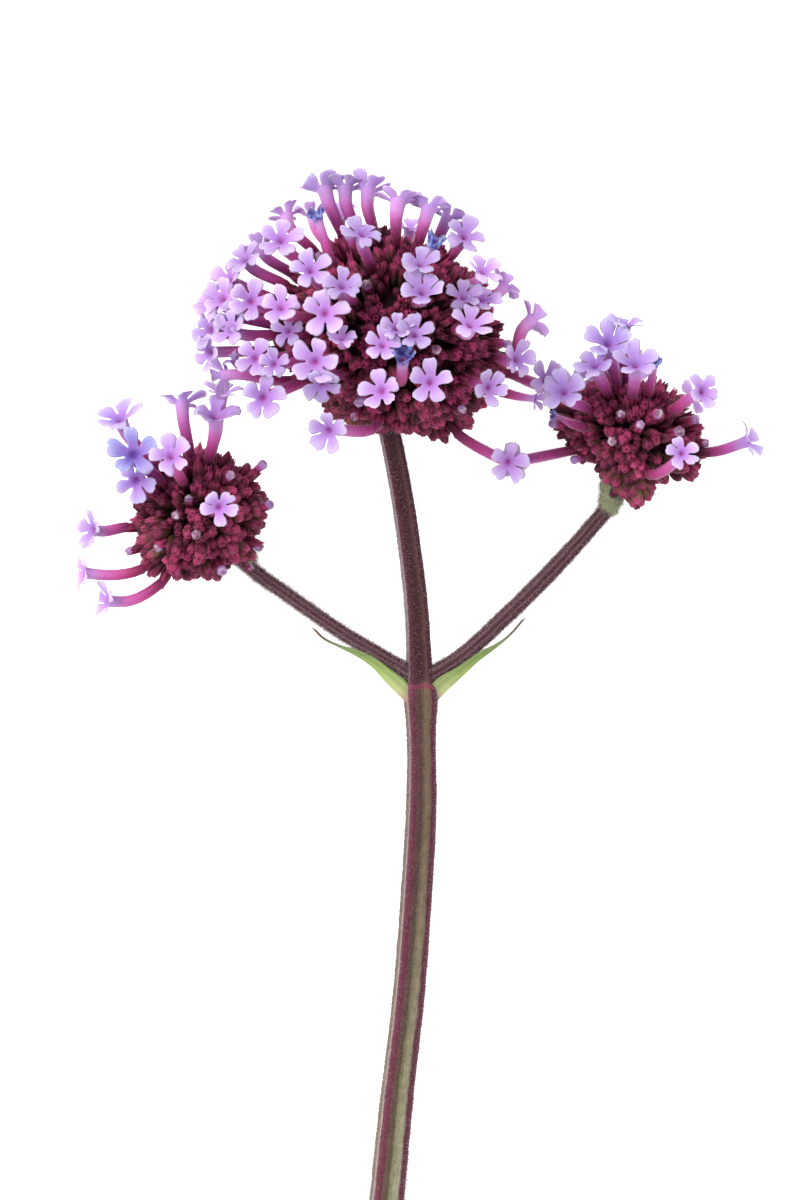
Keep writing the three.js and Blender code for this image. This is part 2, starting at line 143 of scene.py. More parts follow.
def mix(a, b, share):
    # a at 0, b at 1
    return a + (b - a) * share


def smooth(low, high, value):
    # 0 below low, 1 above high, and 3t^2 - 2t^3 between
    t = np.clip((value - low) / (high - low), 0, 1)
    return t * t * (3 - 2 * t)


def turnsRound(count):
    # equal steps round one turn, from 0
    return np.linspace(0, wholeTurn, count, endpoint=False)


def sideAndTop(along, reference):
    # side = along x reference, top = side x along, so a ring's angle is measured from its side
    side = unit(np.cross(along, np.broadcast_to(reference, along.shape)))
    return side, np.cross(side, along)


def smoothLine(points, count):
    # cubic through every point, whose slope at a point comes from its two neighbours
    p = np.asarray(points, float)
    s = np.concatenate([[0], np.cumsum(np.linalg.norm(np.diff(p[:, :3], axis=0), axis=1))])
    slope = np.gradient(p, s, axis=0)
    at = np.linspace(0, s[-1], count)
    i = np.clip(np.searchsorted(s, at, side="right") - 1, 0, len(s) - 2)
    step = (s[i + 1] - s[i])[:, None]
    t = (at - s[i])[:, None] / step
    return ((2 * t**3 - 3 * t**2 + 1) * p[i] + (t**3 - 2 * t**2 + t) * step * slope[i]
            + (3 * t**2 - 2 * t**3) * p[i + 1] + (t**3 - t**2) * step * slope[i + 1])


def gridFaces(rows, columns, around=False):
    # the four corners of each cell of a grid of points
    row = np.arange(rows - 1)[:, None] * columns
    column = np.arange(columns if around else columns - 1)[None, :]
    after = (column + 1) % columns
    return np.stack([row + column, row + after, row + columns + after, row + columns + column],
                    axis=-1).reshape(-1, 4)


def weldCells(points, cells, uv=None):
    # points that lie together become one; a cell with two corners in one place becomes a triangle, and
    # one with fewer corners is dropped
    _, first, place = np.unique(np.round(points, 4), axis=0, return_index=True, return_inverse=True)
    cells = place.ravel()[cells]
    doubled = cells == np.roll(cells, -1, axis=1)
    whole, flat = doubled.sum(axis=1) == 0, doubled.sum(axis=1) == 1
    triangles = cells[flat][~doubled[flat]].reshape(-1, 3)
    if uv is not None:
        uv = np.concatenate([uv[whole].reshape(-1, 2), uv[flat][~doubled[flat]].reshape(-1, 2)])
    return first, cells[whole], triangles, uv


def weldRound(grid):
    # the first points, quads and triangles of a grid whose columns close round
    return weldCells(grid.reshape(-1, 3), gridFaces(*grid.shape[:2], around=True))[:3]


def closeEnds(grid):
    # one more row before and after, with all its points in the middle of the end row
    middles = [np.broadcast_to(row.mean(axis=1, keepdims=True), row.shape) for row in (grid[:1], grid[-1:])]
    return np.concatenate([middles[0], grid, middles[1]])


def repeatFaces(faces, copies, pointsEach):
    # the faces of every copy, each counted on by the points of the ones before it
    return (faces[None] + np.arange(copies)[:, None, None] * pointsEach).reshape(-1, faces.shape[1])


def placeCopies(shape, origins, directions, turns):
    # point = origin + x side + y top + z direction, with side and top turned round the direction
    side, top = sideAndTop(directions, np.where(np.abs(directions[:, 2:]) > 0.9, ahead, up))
    c, s = np.cos(turns)[:, None], np.sin(turns)[:, None]
    side, top = side * c + top * s, top * c - side * s
    return (origins[:, None] + shape[..., 0:1] * side[:, None] + shape[..., 1:2] * top[:, None]
            + shape[..., 2:3] * directions[:, None])


def facesOutward(points, quads, triangles, uv=None):
    # all faces are turned round if together they enclose a negative volume, the sum of a . (b x c) / 6
    a, b, c, d = (points[quads[:, i]] for i in range(4))
    p, q, r = (points[triangles[:, i]] for i in range(3))
    volume = (a * (np.cross(b, c) + np.cross(c, d))).sum() + (p * np.cross(q, r)).sum()
    if volume >= 0:
        return quads, triangles, uv
    if uv is not None:
        uv = np.concatenate([uv[:quads.size].reshape(-1, 4, 2)[:, ::-1].reshape(-1, 2),
                             uv[quads.size:].reshape(-1, 3, 2)[:, ::-1].reshape(-1, 2)])
    return quads[:, ::-1], triangles[:, ::-1], uv


def meshPiece(name, points, quads, triangles, material, replaced=(), values=None, uv=None):
    # one object from arrays of points and faces, with values at its points and a uv at each face corner
    points = np.asarray(points, float).reshape(-1, 3) * mm
    quads = np.asarray(quads, int).reshape(-1, 4)
    triangles = np.asarray(triangles, int).reshape(-1, 3)
    quads, triangles, uv = facesOutward(points, quads, triangles, uv)
    corners = np.concatenate([quads.ravel(), triangles.ravel()])
    starts = np.concatenate([np.arange(len(quads)) * 4, quads.size + np.arange(len(triangles)) * 3])
    mesh = bpy.data.meshes.new(name)
    mesh.vertices.add(len(points))
    mesh.vertices.foreach_set("co", points.astype(np.float32).ravel())
    mesh.loops.add(len(corners))
    mesh.loops.foreach_set("vertex_index", corners.astype(np.int32))
    mesh.polygons.add(len(starts))
    mesh.polygons.foreach_set("loop_start", starts.astype(np.int32))
    mesh.polygons.foreach_set("use_smooth", np.ones(len(starts), bool))
    for key, value in (values or {}).items():
        layer = mesh.attributes.new(key, "FLOAT", "POINT")
        layer.data.foreach_set("value", np.asarray(value, np.float32).ravel())
    if uv is not None:
        mesh.uv_layers.new(name="UVMap").data.foreach_set("uv", uv.astype(np.float32).ravel())
    mesh.update(calc_edges=True)
    mesh.validate()
    mesh.materials.append(material)
    piece = bpy.data.objects.new(name, mesh)
    bpy.context.scene.collection.objects.link(piece)
    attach(piece, "root")
    if replaced:
        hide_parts(*replaced)
    print(f"  {name}: {2 * len(quads) + len(triangles)} triangles")


# node groups and materials


def newGroup(name, inputs, output, kind):
    # inputs are names with their defaults: a number, a colour, or None for a place; there is one output
    group = bpy.data.node_groups.new(name, "ShaderNodeTree")
    for title, default in inputs.items():
        inputKind = "NodeSocket" + {float: "Float", tuple: "Color"}.get(type(default), "Vector")
        socket = group.interface.new_socket(name=title, in_out="INPUT", socket_type=inputKind)
        if default is not None:
            socket.default_value = default
    group.interface.new_socket(name=output, in_out="OUTPUT", socket_type="NodeSocket" + kind)
    return group, group.nodes.new("NodeGroupInput").outputs, group.nodes.new("NodeGroupOutput").inputs[0]


def feed(tree, socket, value):
    # a socket takes another socket's output or a plain value
    if isinstance(value, bpy.types.NodeSocket):
        tree.links.new(value, socket)
    else:
        socket.default_value = value


def node(tree, kind, inputs, output=0, **settings):
    # a node with its settings and its inputs, by name or by number
    made = tree.nodes.new(kind)
    for key, value in settings.items():
        setattr(made, key, value)
    for key, value in inputs.items():
        feed(tree, made.inputs[key], value)
    return made.outputs[output]


def compute(tree, operation, first, second=0.0, third=0.0):
    # one sum, product or other operation on up to three values
    return node(tree, "ShaderNodeMath", {0: first, 1: second, 2: third}, operation=operation)


def mixColour(tree, share, first, second, blend="MIX"):
    # first at 0, second at 1
    return node(tree, "ShaderNodeMix", {0: share, 6: first, 7: second}, 2, data_type="RGBA",
                blend_type=blend)


def between(tree, value, low, high, first=0.0, last=1.0):
    # first below low, last above high, and straight between
    return node(tree, "ShaderNodeMapRange", {0: value, 1: low, 2: high, 3: first, 4: last})


def rampOf(tree, value, stops, share=1.0):
    # stops are (place, "#rrggbb")
    made = tree.nodes.new("ShaderNodeValToRGB")
    feed(tree, made.inputs[0], value)
    elements = made.color_ramp.elements
    elements[0].position, elements[0].color = stops[0][0], paint(stops[0][1], share)
    elements[1].position, elements[1].color = stops[-1][0], paint(stops[-1][1], share)
    for place, code in stops[1:-1]:
        elements.new(place).color = paint(code, share)
    return made.outputs[0]


def attribute(tree, name):
    # a value that meshPiece gave to the points
    return node(tree, "ShaderNodeAttribute", {}, "Fac", attribute_name=name)


def noiseAt(tree, place, scale, detail):
    # smooth noise from 0 to 1
    return node(tree, "ShaderNodeTexNoise", {"Vector": place, "Scale": scale, "Detail": detail})


def makeToneGroup():
    # colour x (1 + amount (tone - 0.5) + grain (noise - 0.5))
    tree, given, result = newGroup("toneAndGrain", {
        "Color": (0.5, 0.5, 0.5, 1), "Tone": 0.5, "Amount": 0.3, "Place": None, "Scale": 900.0, "Grain": 0.3,
    }, "Color", "Color")
    noise = noiseAt(tree, given["Place"], given["Scale"], 3.0)
    tone = compute(tree, "MULTIPLY", compute(tree, "SUBTRACT", given["Tone"], 0.5), given["Amount"])
    grain = compute(tree, "MULTIPLY", compute(tree, "SUBTRACT", noise, 0.5), given["Grain"])
    lightness = compute(tree, "ADD", compute(tree, "ADD", tone, grain), 1.0)
    grey = node(tree, "ShaderNodeCombineColor", {0: lightness, 1: lightness, 2: lightness})
    tree.links.new(mixColour(tree, 1.0, given["Color"], grey, "MULTIPLY"), result)
    return tree


def makeFibreGroup():
    # noise on a cylinder: turn round it and distance along it, each with its own fineness
    tree, given, result = newGroup("fibre", {
        "Turn": 0.0, "Along": 0.0, "Round": 12.0, "Length": 60.0, "Share": 0.5, "Softness": 0.15,
    }, "Mask", "Float")
    angle = compute(tree, "MULTIPLY", given["Turn"], wholeTurn)
    x = compute(tree, "MULTIPLY", compute(tree, "COSINE", angle), given["Round"])
    y = compute(tree, "MULTIPLY", compute(tree, "SINE", angle), given["Round"])
    z = compute(tree, "MULTIPLY", given["Along"], given["Length"])
    place = node(tree, "ShaderNodeCombineXYZ", {0: x, 1: y, 2: z})
    noise = noiseAt(tree, place, 1.0, 1.5)
    low = compute(tree, "SUBTRACT", 1.0, given["Share"])
    high = compute(tree, "ADD", low, given["Softness"])
    tree.links.new(between(tree, noise, low, high), result)
    return tree


def makeReliefGroup():
    # the normal of a fine uneven skin, raised by noise
    tree, given, result = newGroup("relief", {
        "Place": None, "Scale": 2500.0, "Strength": 0.4, "Distance": 0.08 * mm}, "Normal", "Vector")
    noise = noiseAt(tree, given["Place"], given["Scale"], 4.0)
    bump = node(tree, "ShaderNodeBump", {"Height": noise, "Strength": given["Strength"],
                                         "Distance": given["Distance"]})
    tree.links.new(bump, result)
    return tree


def makeVeinGroup():
    # thin lines along a blade: bright where cos(lines pi across) is near 1
    tree, given, result = newGroup("veins", {
        "Across": 0.0, "Lines": 4.0, "Sharpness": 5.0, "Fade": 1.0}, "Mask", "Float")
    turns = compute(tree, "MULTIPLY", compute(tree, "MULTIPLY", given["Across"], given["Lines"]), np.pi)
    raised = compute(tree, "MULTIPLY_ADD", compute(tree, "COSINE", turns), 0.5, 0.5)
    sharp = compute(tree, "POWER", raised, given["Sharpness"])
    tree.links.new(compute(tree, "MULTIPLY", sharp, given["Fade"]), result)
    return tree


toneGroup = makeToneGroup()
fibreGroup = makeFibreGroup()
reliefGroup = makeReliefGroup()
veinGroup = makeVeinGroup()


def useGroup(tree, group, **inputs):
    # the output of a group whose named inputs are fed
    return node(tree, "ShaderNodeGroup", inputs, node_tree=group)


def newMaterial(name, roughness, specular=0.35, sheen=0.0, through=0.0):
    # through is the share of light that passes just under the skin
    material = bpy.data.materials.new(name)
    material.use_nodes = True
    shader = material.node_tree.nodes["Principled BSDF"]
    setInputs(shader, {"Roughness": roughness, "Specular IOR Level": specular, "Sheen Weight": sheen,
                       "Sheen Roughness": 0.4})
    if through:
        setInputs(shader, {"Subsurface Weight": through, "Subsurface Radius": (0.8, 0.6, 1.0),
                           "Subsurface Scale": 0.5 * mm})
    place = node(material.node_tree, "ShaderNodeTexCoord", {}, "Object")
    return material, material.node_tree, shader, place


def finish(tree, shader, colour, place, scale, strength):
    # the last links of a material: its colour and the relief of its skin
    tree.links.new(colour, shader.inputs["Base Color"])
    tree.links.new(useGroup(tree, reliefGroup, Place=place, Scale=scale, Strength=strength),
                   shader.inputs["Normal"])


stemSkin = {
    "footFrom": -64, "footTo": -14,           # the foot's colours give way to the lower ones between these y
    "nodeY": 4.3, "nodeSoft": 0.8,            # where the two bracts meet, and how softly the colours change
    # dark fibres, reddish dots and the pale feet of bristles: fineness round and along, share, softness,
    # strength and colour
    "layers": [(3.4, 9.0, 0.52, 0.2, 0.5, "#300d16"), (5.0, 60.0, 0.46, 0.06, 0.5, "#5a1832"),
               (6.3, 44.0, 0.43, 0.06, 0.16, "#c9a9b0")],
}


def makeStemMaterial(name, foot, lower, upper, fine):
    # ramps of colour round the stem: one at its foot, one below the fork and one above it
    material, tree, shader, place = newMaterial(name, roughness=0.6, specular=0.16)
    uv = node(tree, "ShaderNodeUVMap", {})
    turn, along = (node(tree, "ShaderNodeSeparateXYZ", {0: uv}, axis) for axis in ("X", "Y"))
    wobble = noiseAt(tree, place, 420.0, 2.0)
    shifted = compute(tree, "MULTIPLY_ADD", wobble, 0.03, compute(tree, "SUBTRACT", turn, 0.015))
    y = node(tree, "ShaderNodeSeparateXYZ", {0: place}, "Y")
    atFoot = between(tree, y, stemSkin["footFrom"] * mm, stemSkin["footTo"] * mm)
    colour = mixColour(tree, atFoot, rampOf(tree, shifted, foot), rampOf(tree, shifted, lower, 0.85))
    edge = compute(tree, "MULTIPLY_ADD", wobble, mm, y)
    nodeY = stemSkin["nodeY"] * mm
    overNode = between(tree, edge, nodeY, nodeY + stemSkin["nodeSoft"] * mm)
    colour = mixColour(tree, overNode, colour, rampOf(tree, shifted, upper, 0.75))
    for fineRound, fineAlong, share, softness, strength, code in stemSkin["layers"]:
        mask = useGroup(tree, fibreGroup, Turn=turn, Along=along, Round=fine * fineRound,
                        Length=fine * fineAlong, Share=share, Softness=softness)
        colour = mixColour(tree, compute(tree, "MULTIPLY", mask, strength), colour, paint(code))
    # the line where the two bracts meet round the node
    ring = compute(tree, "ABSOLUTE", compute(tree, "SUBTRACT", edge, nodeY))
    colour = mixColour(tree, between(tree, ring, 0.1 * mm, 0.42 * mm, 0.8, 0.0), colour, paint("#8f3a55"))
    colour = useGroup(tree, toneGroup, Color=colour, Place=place, Scale=900.0, Grain=0.6)
    # the cut end shows pale pith inside a green rim
    face = mixColour(tree, between(tree, along, -0.25, -0.1), paint("#cfd3ac"), paint("#7f9350"))
    colour = mixColour(tree, between(tree, along, -0.03, 0.0), face, colour)
    finish(tree, shader, colour, place, 5200.0, 0.6)
    return material


def makeBractMaterial():
    # pale at the base, green on, and brown at the tip, with a lighter midrib
    material, tree, shader, place = newMaterial("bractSkin", roughness=0.55, through=0.12)
    across = attribute(tree, "across")
    colour = rampOf(tree, attribute(tree, "along"), [
        (0.0, "#a8505e"), (0.08, "#c49a84"), (0.17, "#c6cf8e"), (0.34, "#a6bb68"), (0.55, "#7f9a48"),
        (0.74, "#77805a"), (0.86, "#604840"), (1.0, "#5a3a3a")])
    nearEdge = between(tree, compute(tree, "ABSOLUTE", across), 0.2, 0.95)
    beforeTip = between(tree, attribute(tree, "along"), 0.75, 0.5, 0.0, 0.8)
    nearEdge = compute(tree, "MULTIPLY", nearEdge, beforeTip)
    colour = mixColour(tree, nearEdge, colour, paint("#6d8836"))
    veins = useGroup(tree, veinGroup, Across=across, Lines=5.0, Sharpness=4.0, Fade=0.25)
    colour = mixColour(tree, veins, colour, paint("#d6deaa"))
    colour = useGroup(tree, toneGroup, Color=colour, Place=place, Scale=900.0, Grain=0.4)
    finish(tree, shader, colour, place, 2600.0, 0.4)
    return material


def makeCalyxMaterial():
    # wine red and olive where it is young, near black towards the foot as painted shade deep in the mass,
    # with redder teeth, ribs painted pale as highlights and grooves painted dark as shade
    material, tree, shader, place = newMaterial("calyxSkin", roughness=0.5, specular=0.1)
    along, rib = attribute(tree, "along"), attribute(tree, "rib")
    # near black at the foot, painted shade deep among the calyxes, up to the redder teeth
    colour = rampOf(tree, along, [
        (0.0, "#0c0206"), (0.3, "#1c050c"), (0.5, "#3a0a1a"), (0.72, "#641634"), (0.88, "#8a2750"),
        (1.0, "#a83e66")])
    olive = compute(tree, "MULTIPLY", attribute(tree, "olive"), between(tree, along, 0.95, 0.3, 0.0, 0.85))
    colour = mixColour(tree, olive, colour, paint("#65663c"))
    # pale pink on the ribs is a painted highlight
    colour = mixColour(tree, compute(tree, "MULTIPLY", rib, 0.24), colour, paint("#b4507c"))
    # dark wine in the grooves is painted shade
    groove = compute(tree, "MULTIPLY", between(tree, rib, 0.45, 0.0), 0.22)
    colour = mixColour(tree, groove, colour, paint("#2a0814"))
    colour = useGroup(tree, toneGroup, Color=colour, Tone=attribute(tree, "tone"), Amount=1.35, Place=place,
                      Scale=1100.0, Grain=0.5)
    finish(tree, shader, colour, place, 3000.0, 0.25)
    return material


def makeCorollaMaterial():
    # zone runs 0 at the tube's foot, 1 at the throat and 2 at the tip of a petal
    material, tree, shader, place = newMaterial("petalSkin", roughness=0.52, specular=0.22, sheen=0.12,
                                                through=0.22)
    zone = compute(tree, "MULTIPLY", attribute(tree, "zone"), 0.5)
    across = attribute(tree, "across")
    # above: the floret's own magenta at the throat, then a darker violet round it that is painted shade
    # inside the funnel of petals, out to pale tips
    above = rampOf(tree, zone, [
        (0.27, "#8f3c86"), (0.35, "#ae54a6"), (0.42, "#b772bf"), (0.5, "#b883ce"), (0.58, "#be8ed7"),
        (0.7, "#c69fdf"), (0.85, "#ccb0e4"), (1.0, "#d6c2ec")])
    # outside: the tube from dark wine at its foot to magenta; the undersides of the petals are painted light,
    # as pale as the tops, for the light that shines through the petals
    outside = rampOf(tree, zone, [
        (0.0, "#761d4a"), (0.08, "#9e2d6a"), (0.2, "#c04c95"), (0.33, "#cf6cb6"), (0.43, "#cf8ccd"),
        (0.52, "#ca9cdc"), (0.62, "#cba5e4"), (1.0, "#d3b4ea")])
    # some florets are pinker and some more violet
    tint = between(tree, attribute(tree, "tone"), 0.0, 1.0, 0.485, 0.51)
    colour = node(tree, "ShaderNodeHueSaturation", {
        "Hue": tint, "Saturation": 1.0, "Value": 1.0,
        "Color": mixColour(tree, attribute(tree, "under"), above, outside)})
    petal = between(tree, zone, 0.5, 0.62)
    bluish = rampOf(tree, zone, [
        (0.05, "#7a2a78"), (0.24, "#8238a2"), (0.34, "#5c44b8"), (0.5, "#7062d0"), (0.6, "#8580de"),
        (0.8, "#a3a6ec"), (1.0, "#b3b9f2")])
    patch = noiseAt(tree, place, 420.0, 1.0)
    patch = between(tree, patch, 0.35, 0.6, 0.35, 1.1)
    blueShare = compute(tree, "MULTIPLY", attribute(tree, "blue"), patch)
    colour = mixColour(tree, blueShare, colour, bluish)
    # the side edges of each petal are painted lighter, as light that shows through where the petal is thin
    edge = compute(tree, "MULTIPLY", compute(tree, "POWER", compute(tree, "ABSOLUTE", across), 5.0), petal)
    colour = mixColour(tree, compute(tree, "MULTIPLY", edge, 0.12), colour, paint("#dccbf2"))
    fade = compute(tree, "MULTIPLY", between(tree, zone, 0.5, 1.0, 0.3, 0.06), petal)
    veins = useGroup(tree, veinGroup, Across=across, Lines=4.0, Sharpness=6.0, Fade=fade)
    colour = mixColour(tree, veins, colour, paint("#8a5cba"))
    crumple = noiseAt(tree, place, 1500.0, 3.0)
    driedColour = rampOf(tree, crumple, [
        (0.3, "#2a2260"), (0.45, "#4543a0"), (0.57, "#6f84d0"), (0.72, "#c3d0f2")])
    driedShare = compute(tree, "MULTIPLY", attribute(tree, "dried"), between(tree, zone, 0.46, 0.52))
    colour = mixColour(tree, driedShare, colour, driedColour)
    creamColour = rampOf(tree, crumple, [(0.37, "#7c3f6c"), (0.48, "#ab7a98"), (0.62, "#d9c4c6")])
    colour = mixColour(tree, compute(tree, "MULTIPLY", attribute(tree, "cream"), petal), colour, creamColour)
    colour = useGroup(tree, toneGroup, Color=colour, Tone=attribute(tree, "tone"), Amount=0.3, Place=place,
                      Scale=1300.0, Grain=0.22)
    finish(tree, shader, colour, place, 2600.0, 0.25)
    return material


def makeHairMaterial(name, code):
    # one colour, lighter or darker from hair to hair
    material, tree, shader, place = newMaterial(name, roughness=0.45)
    colour = useGroup(tree, toneGroup, Color=paint(code), Tone=attribute(tree, "tone"), Amount=0.5,
                      Place=place, Scale=300.0, Grain=0.2)
    tree.links.new(colour, shader.inputs["Base Color"])
    return material


# ridges are wine red and grooves green-olive; on the stem the pale band on its left side (about 0.38 to 0.53
# round) is painted light from the lamp on the left, and the groove that faces up is painted lighter on its
# right half and darker with painted shade on its left half; the ramps run once round from the stem's right
# side
stemFoot = [
    (0.0, "#6f6444"), (0.035, "#66283a"), (0.13, "#66283a"), (0.15, "#b0b294"), (0.19, "#a6ab84"),
    (0.232, "#9c9f74"), (0.25, "#625840"), (0.29, "#6b5c44"), (0.305, "#722c42"), (0.37, "#753448"),
    (0.39, "#c6beac"), (0.45, "#bcb2a2"), (0.48, "#8a8268"), (0.53, "#7d745c"), (0.55, "#66283a"),
    (0.62, "#66283a"), (0.64, "#a0a880"), (0.72, "#858a60"), (0.74, "#625840"), (0.79, "#6b5c44"),
    (0.81, "#66283a"), (0.88, "#66283a"), (0.9, "#969c70"), (1.0, "#6f6444")]
stemLower = [
    (0.0, "#5f4c3c"), (0.035, "#5c2238"), (0.083, "#6f3a4c"), (0.13, "#5f2038"), (0.15, "#7d6a50"),
    (0.19, "#86755a"), (0.232, "#73604c"), (0.25, "#56403a"), (0.29, "#5d443e"), (0.305, "#6c2440"),
    (0.335, "#722c46"), (0.37, "#784254"), (0.39, "#bfaaae"), (0.45, "#b5a0a4"), (0.48, "#82705e"),
    (0.53, "#776554"), (0.55, "#6a2440"), (0.62, "#6a2440"), (0.64, "#847c5a"), (0.72, "#7c7655"),
    (0.74, "#56403a"), (0.79, "#5d443e"), (0.81, "#6a2440"), (0.88, "#6a2440"), (0.9, "#847c5a"),
    (1.0, "#5f4c3c")]
stemUpper = [
    (0.0, "#3c1820"), (0.04, "#4d1828"), (0.13, "#4a1a28"), (0.15, "#6a4e48"), (0.19, "#4a2629"),
    (0.29, "#3c1a22"), (0.31, "#551d2c"), (0.36, "#5c2c38"), (0.385, "#b5a2aa"), (0.53, "#a8929a"),
    (0.55, "#4e2030"), (0.8, "#411e26"), (1.0, "#3c1820")]
branchRound = [
    (0.0, "#47202a"), (0.12, "#401722"), (0.17, "#55303a"), (0.2, "#86686c"), (0.23, "#501f2c"),
    (0.27, "#4e1c2a"), (0.31, "#8a6e70"), (0.35, "#4e1f2c"), (0.5, "#9a8088"), (0.62, "#401822"),
    (0.87, "#401822"), (1.0, "#47202a")]

stemMaterial = makeStemMaterial("stemSkin", stemFoot, stemLower, stemUpper, fine=10.0)
branchMaterial = makeStemMaterial("branchSkin", branchRound, branchRound, branchRound, fine=5.5)
bractMaterial = makeBractMaterial()
calyxMaterial = makeCalyxMaterial()
corollaMaterial = makeCorollaMaterial()
paleHair = makeHairMaterial("paleHair", "#c2aab0")
wineHair = makeHairMaterial("wineHair", "#c9a3b0")
greyHair = makeHairMaterial("greyHair", "#cfcdbd")
print("materials")

# hairs

hair = {
    "stem": {"count": 15000, "length": 0.42, "thick": 0.026, "loose": 0.16},
    "branch": {"count": 7500, "length": 0.5, "thick": 0.026, "loose": 0.2},
    "bract": {"count": 500, "length": 0.36, "thick": 0.018, "loose": 0.2},
    "calyx": {"each": 7, "length": 0.42, "thick": 0.016, "loose": 0.25},
    "tube": {"each": 150, "length": 0.3, "thick": 0.018, "loose": 0.2},
    "neck": {"count": 1400, "length": 0.95, "thick": 0.024, "loose": 0.5},
}
hairSunk = 0.02              # how deep a hair's foot sits in the skin
hairLengths = (0.45, 1.25)   # the shortest and the longest, as shares of the length above
budHairs = 60


def addHairs(name, points, quads, count, facts, seed, weight=None, lean=None, material=paleHair):
    # thin spikes on a surface: each stands in a face drawn by its area times its weight, at a random place
    # in it, and points along the face's normal plus its lean
    draws = np.random.default_rng(seed)
    points = np.asarray(points, float).reshape(-1, 3)
    quads, _, _ = facesOutward(points, quads, np.zeros((0, 3), int))
    a, b, c, d = (points[quads[:, i]] for i in range(4))
    normal = np.cross(c - a, d - b)
    chance = np.linalg.norm(normal, axis=1) * (1 if weight is None else weight)
    face = draws.choice(len(quads), count, p=chance / chance.sum())
    s, t = draws.random((2, count, 1))
    root = mix(mix(a[face], b[face], s), mix(d[face], c[face], s), t)
    normal = unit(normal)[face]
    direction = normal + draws.normal(0, facts["loose"], (count, 3)) + (0 if lean is None else lean[face])
    direction = unit(direction)
    angle = turnsRound(3)
    spike = np.vstack([np.stack([np.cos(angle), np.sin(angle), 0 * angle], axis=1), [0, 0, 1]])
    length = facts["length"] * draws.uniform(*hairLengths, count)
    thick = np.full(count, facts["thick"])
    size = np.stack([thick, thick, length], axis=1)
    root = root - normal * hairSunk
    placed = placeCopies(spike[None] * size[:, None], root, direction, draws.uniform(*anyTurn, count))
    placed[..., 2] = np.maximum(placed[..., 2], overFloor["hair"])
    sides = np.array([[0, 2, 1], [0, 1, 3], [1, 2, 3], [2, 0, 3]])
    tone = np.repeat(draws.uniform(0, 1, count), 4)
    meshPiece(name, placed, [], repeatFaces(sides, count, 4), material, values={"tone": tone})


# main stem and branches

stem = {
    # x, y and width over the ridges, from the cut end to inside the central head
    "line": [
        [-4.4, -69.5, 5.0], [-2.5, -50, 4.6], [-1.0, -37, 4.45], [0.0, -24, 4.4], [0.7, -11, 4.25],
        [0.65, -1, 4.2], [0.6, 2.2, 4.7], [0.5, 4.2, 4.4], [0.45, 5.6, 3.8], [0.35, 8, 3.55],
        [-0.05, 15, 3.3], [-0.75, 21, 3.15], [-1.75, 28, 3.1], [-2.95, 34.5, 3.0], [-4.2, 40.2, 2.9]],
    "slant": 0.12, "turn": -15, "forkY": 5.4,
    "columns": 72, "rows": 330, "wobble": 0.006,
    # radius in the grooves and on the ridges, as shares of the width, and how flat the grooves are
    "groove": 0.385, "ridge": 0.51, "power": 0.75,
}
branches = {
    "left": {"line": [[-0.2, 5.2, 2.4], [-2.3, 6.5, 2.2], [-9.4, 10.7, 2.0], [-16.4, 15.5, 2.0],
                      [-20.9, 18.7, 2.0], [-24.4, 21.8, 2.0]]},
    "right": {"line": [[0.9, 4.7, 2.6], [4.8, 7.0, 2.4], [11.7, 13.0, 2.4], [18.7, 20.0, 2.4],
                       [23.0, 24.8, 2.3], [25.1, 27.4, 2.3], [26.6, 32.5, 2.2]]},
}
branch = {"columns": 40, "rows": 120, "slant": 0, "turn": 0, "wobble": 0.01,
          "groove": 0.43, "ridge": 0.5, "power": 1}


def ringHeight(nodeName, place):
    # the middle height of a solid's end ring, whose points lie within 0.6 of its width of its middle
    x, y, width = place
    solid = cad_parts[nodeName].data
    points = np.empty(3 * len(solid.vertices), np.float32)
    solid.vertices.foreach_get("co", points)
    points = points.reshape(-1, 3) / mm
    heights = points[np.hypot(points[:, 0] - x, points[:, 1] - y) < 0.6 * width, 2]
    return (heights.min() + heights.max()) / 2


stem["cutHeight"], stem["topHeight"] = (ringHeight("main_stem", stem["line"][end]) for end in (0, -1))
for sideName, facts in branches.items():
    facts["topHeight"] = ringHeight(f"{sideName}_branch", facts["line"][-1])


def stemHeight(y):
    # straight from the height of the cut end to that of the top
    first, last = stem["line"][0][1], stem["line"][-1][1]
    return mix(stem["cutHeight"], stem["topHeight"], (np.asarray(y, float) - first) / (last - first))


def section(angle, facts):
    # four rounded ridges: mix(groove, ridge, (0.5 + 0.5 cos 4 (angle - 45 degrees - turn))^power)
    raised = 0.5 + 0.5 * np.cos(4 * (angle - np.radians(45 + facts["turn"])))
    return mix(facts["groove"], facts["ridge"], raised**facts["power"])


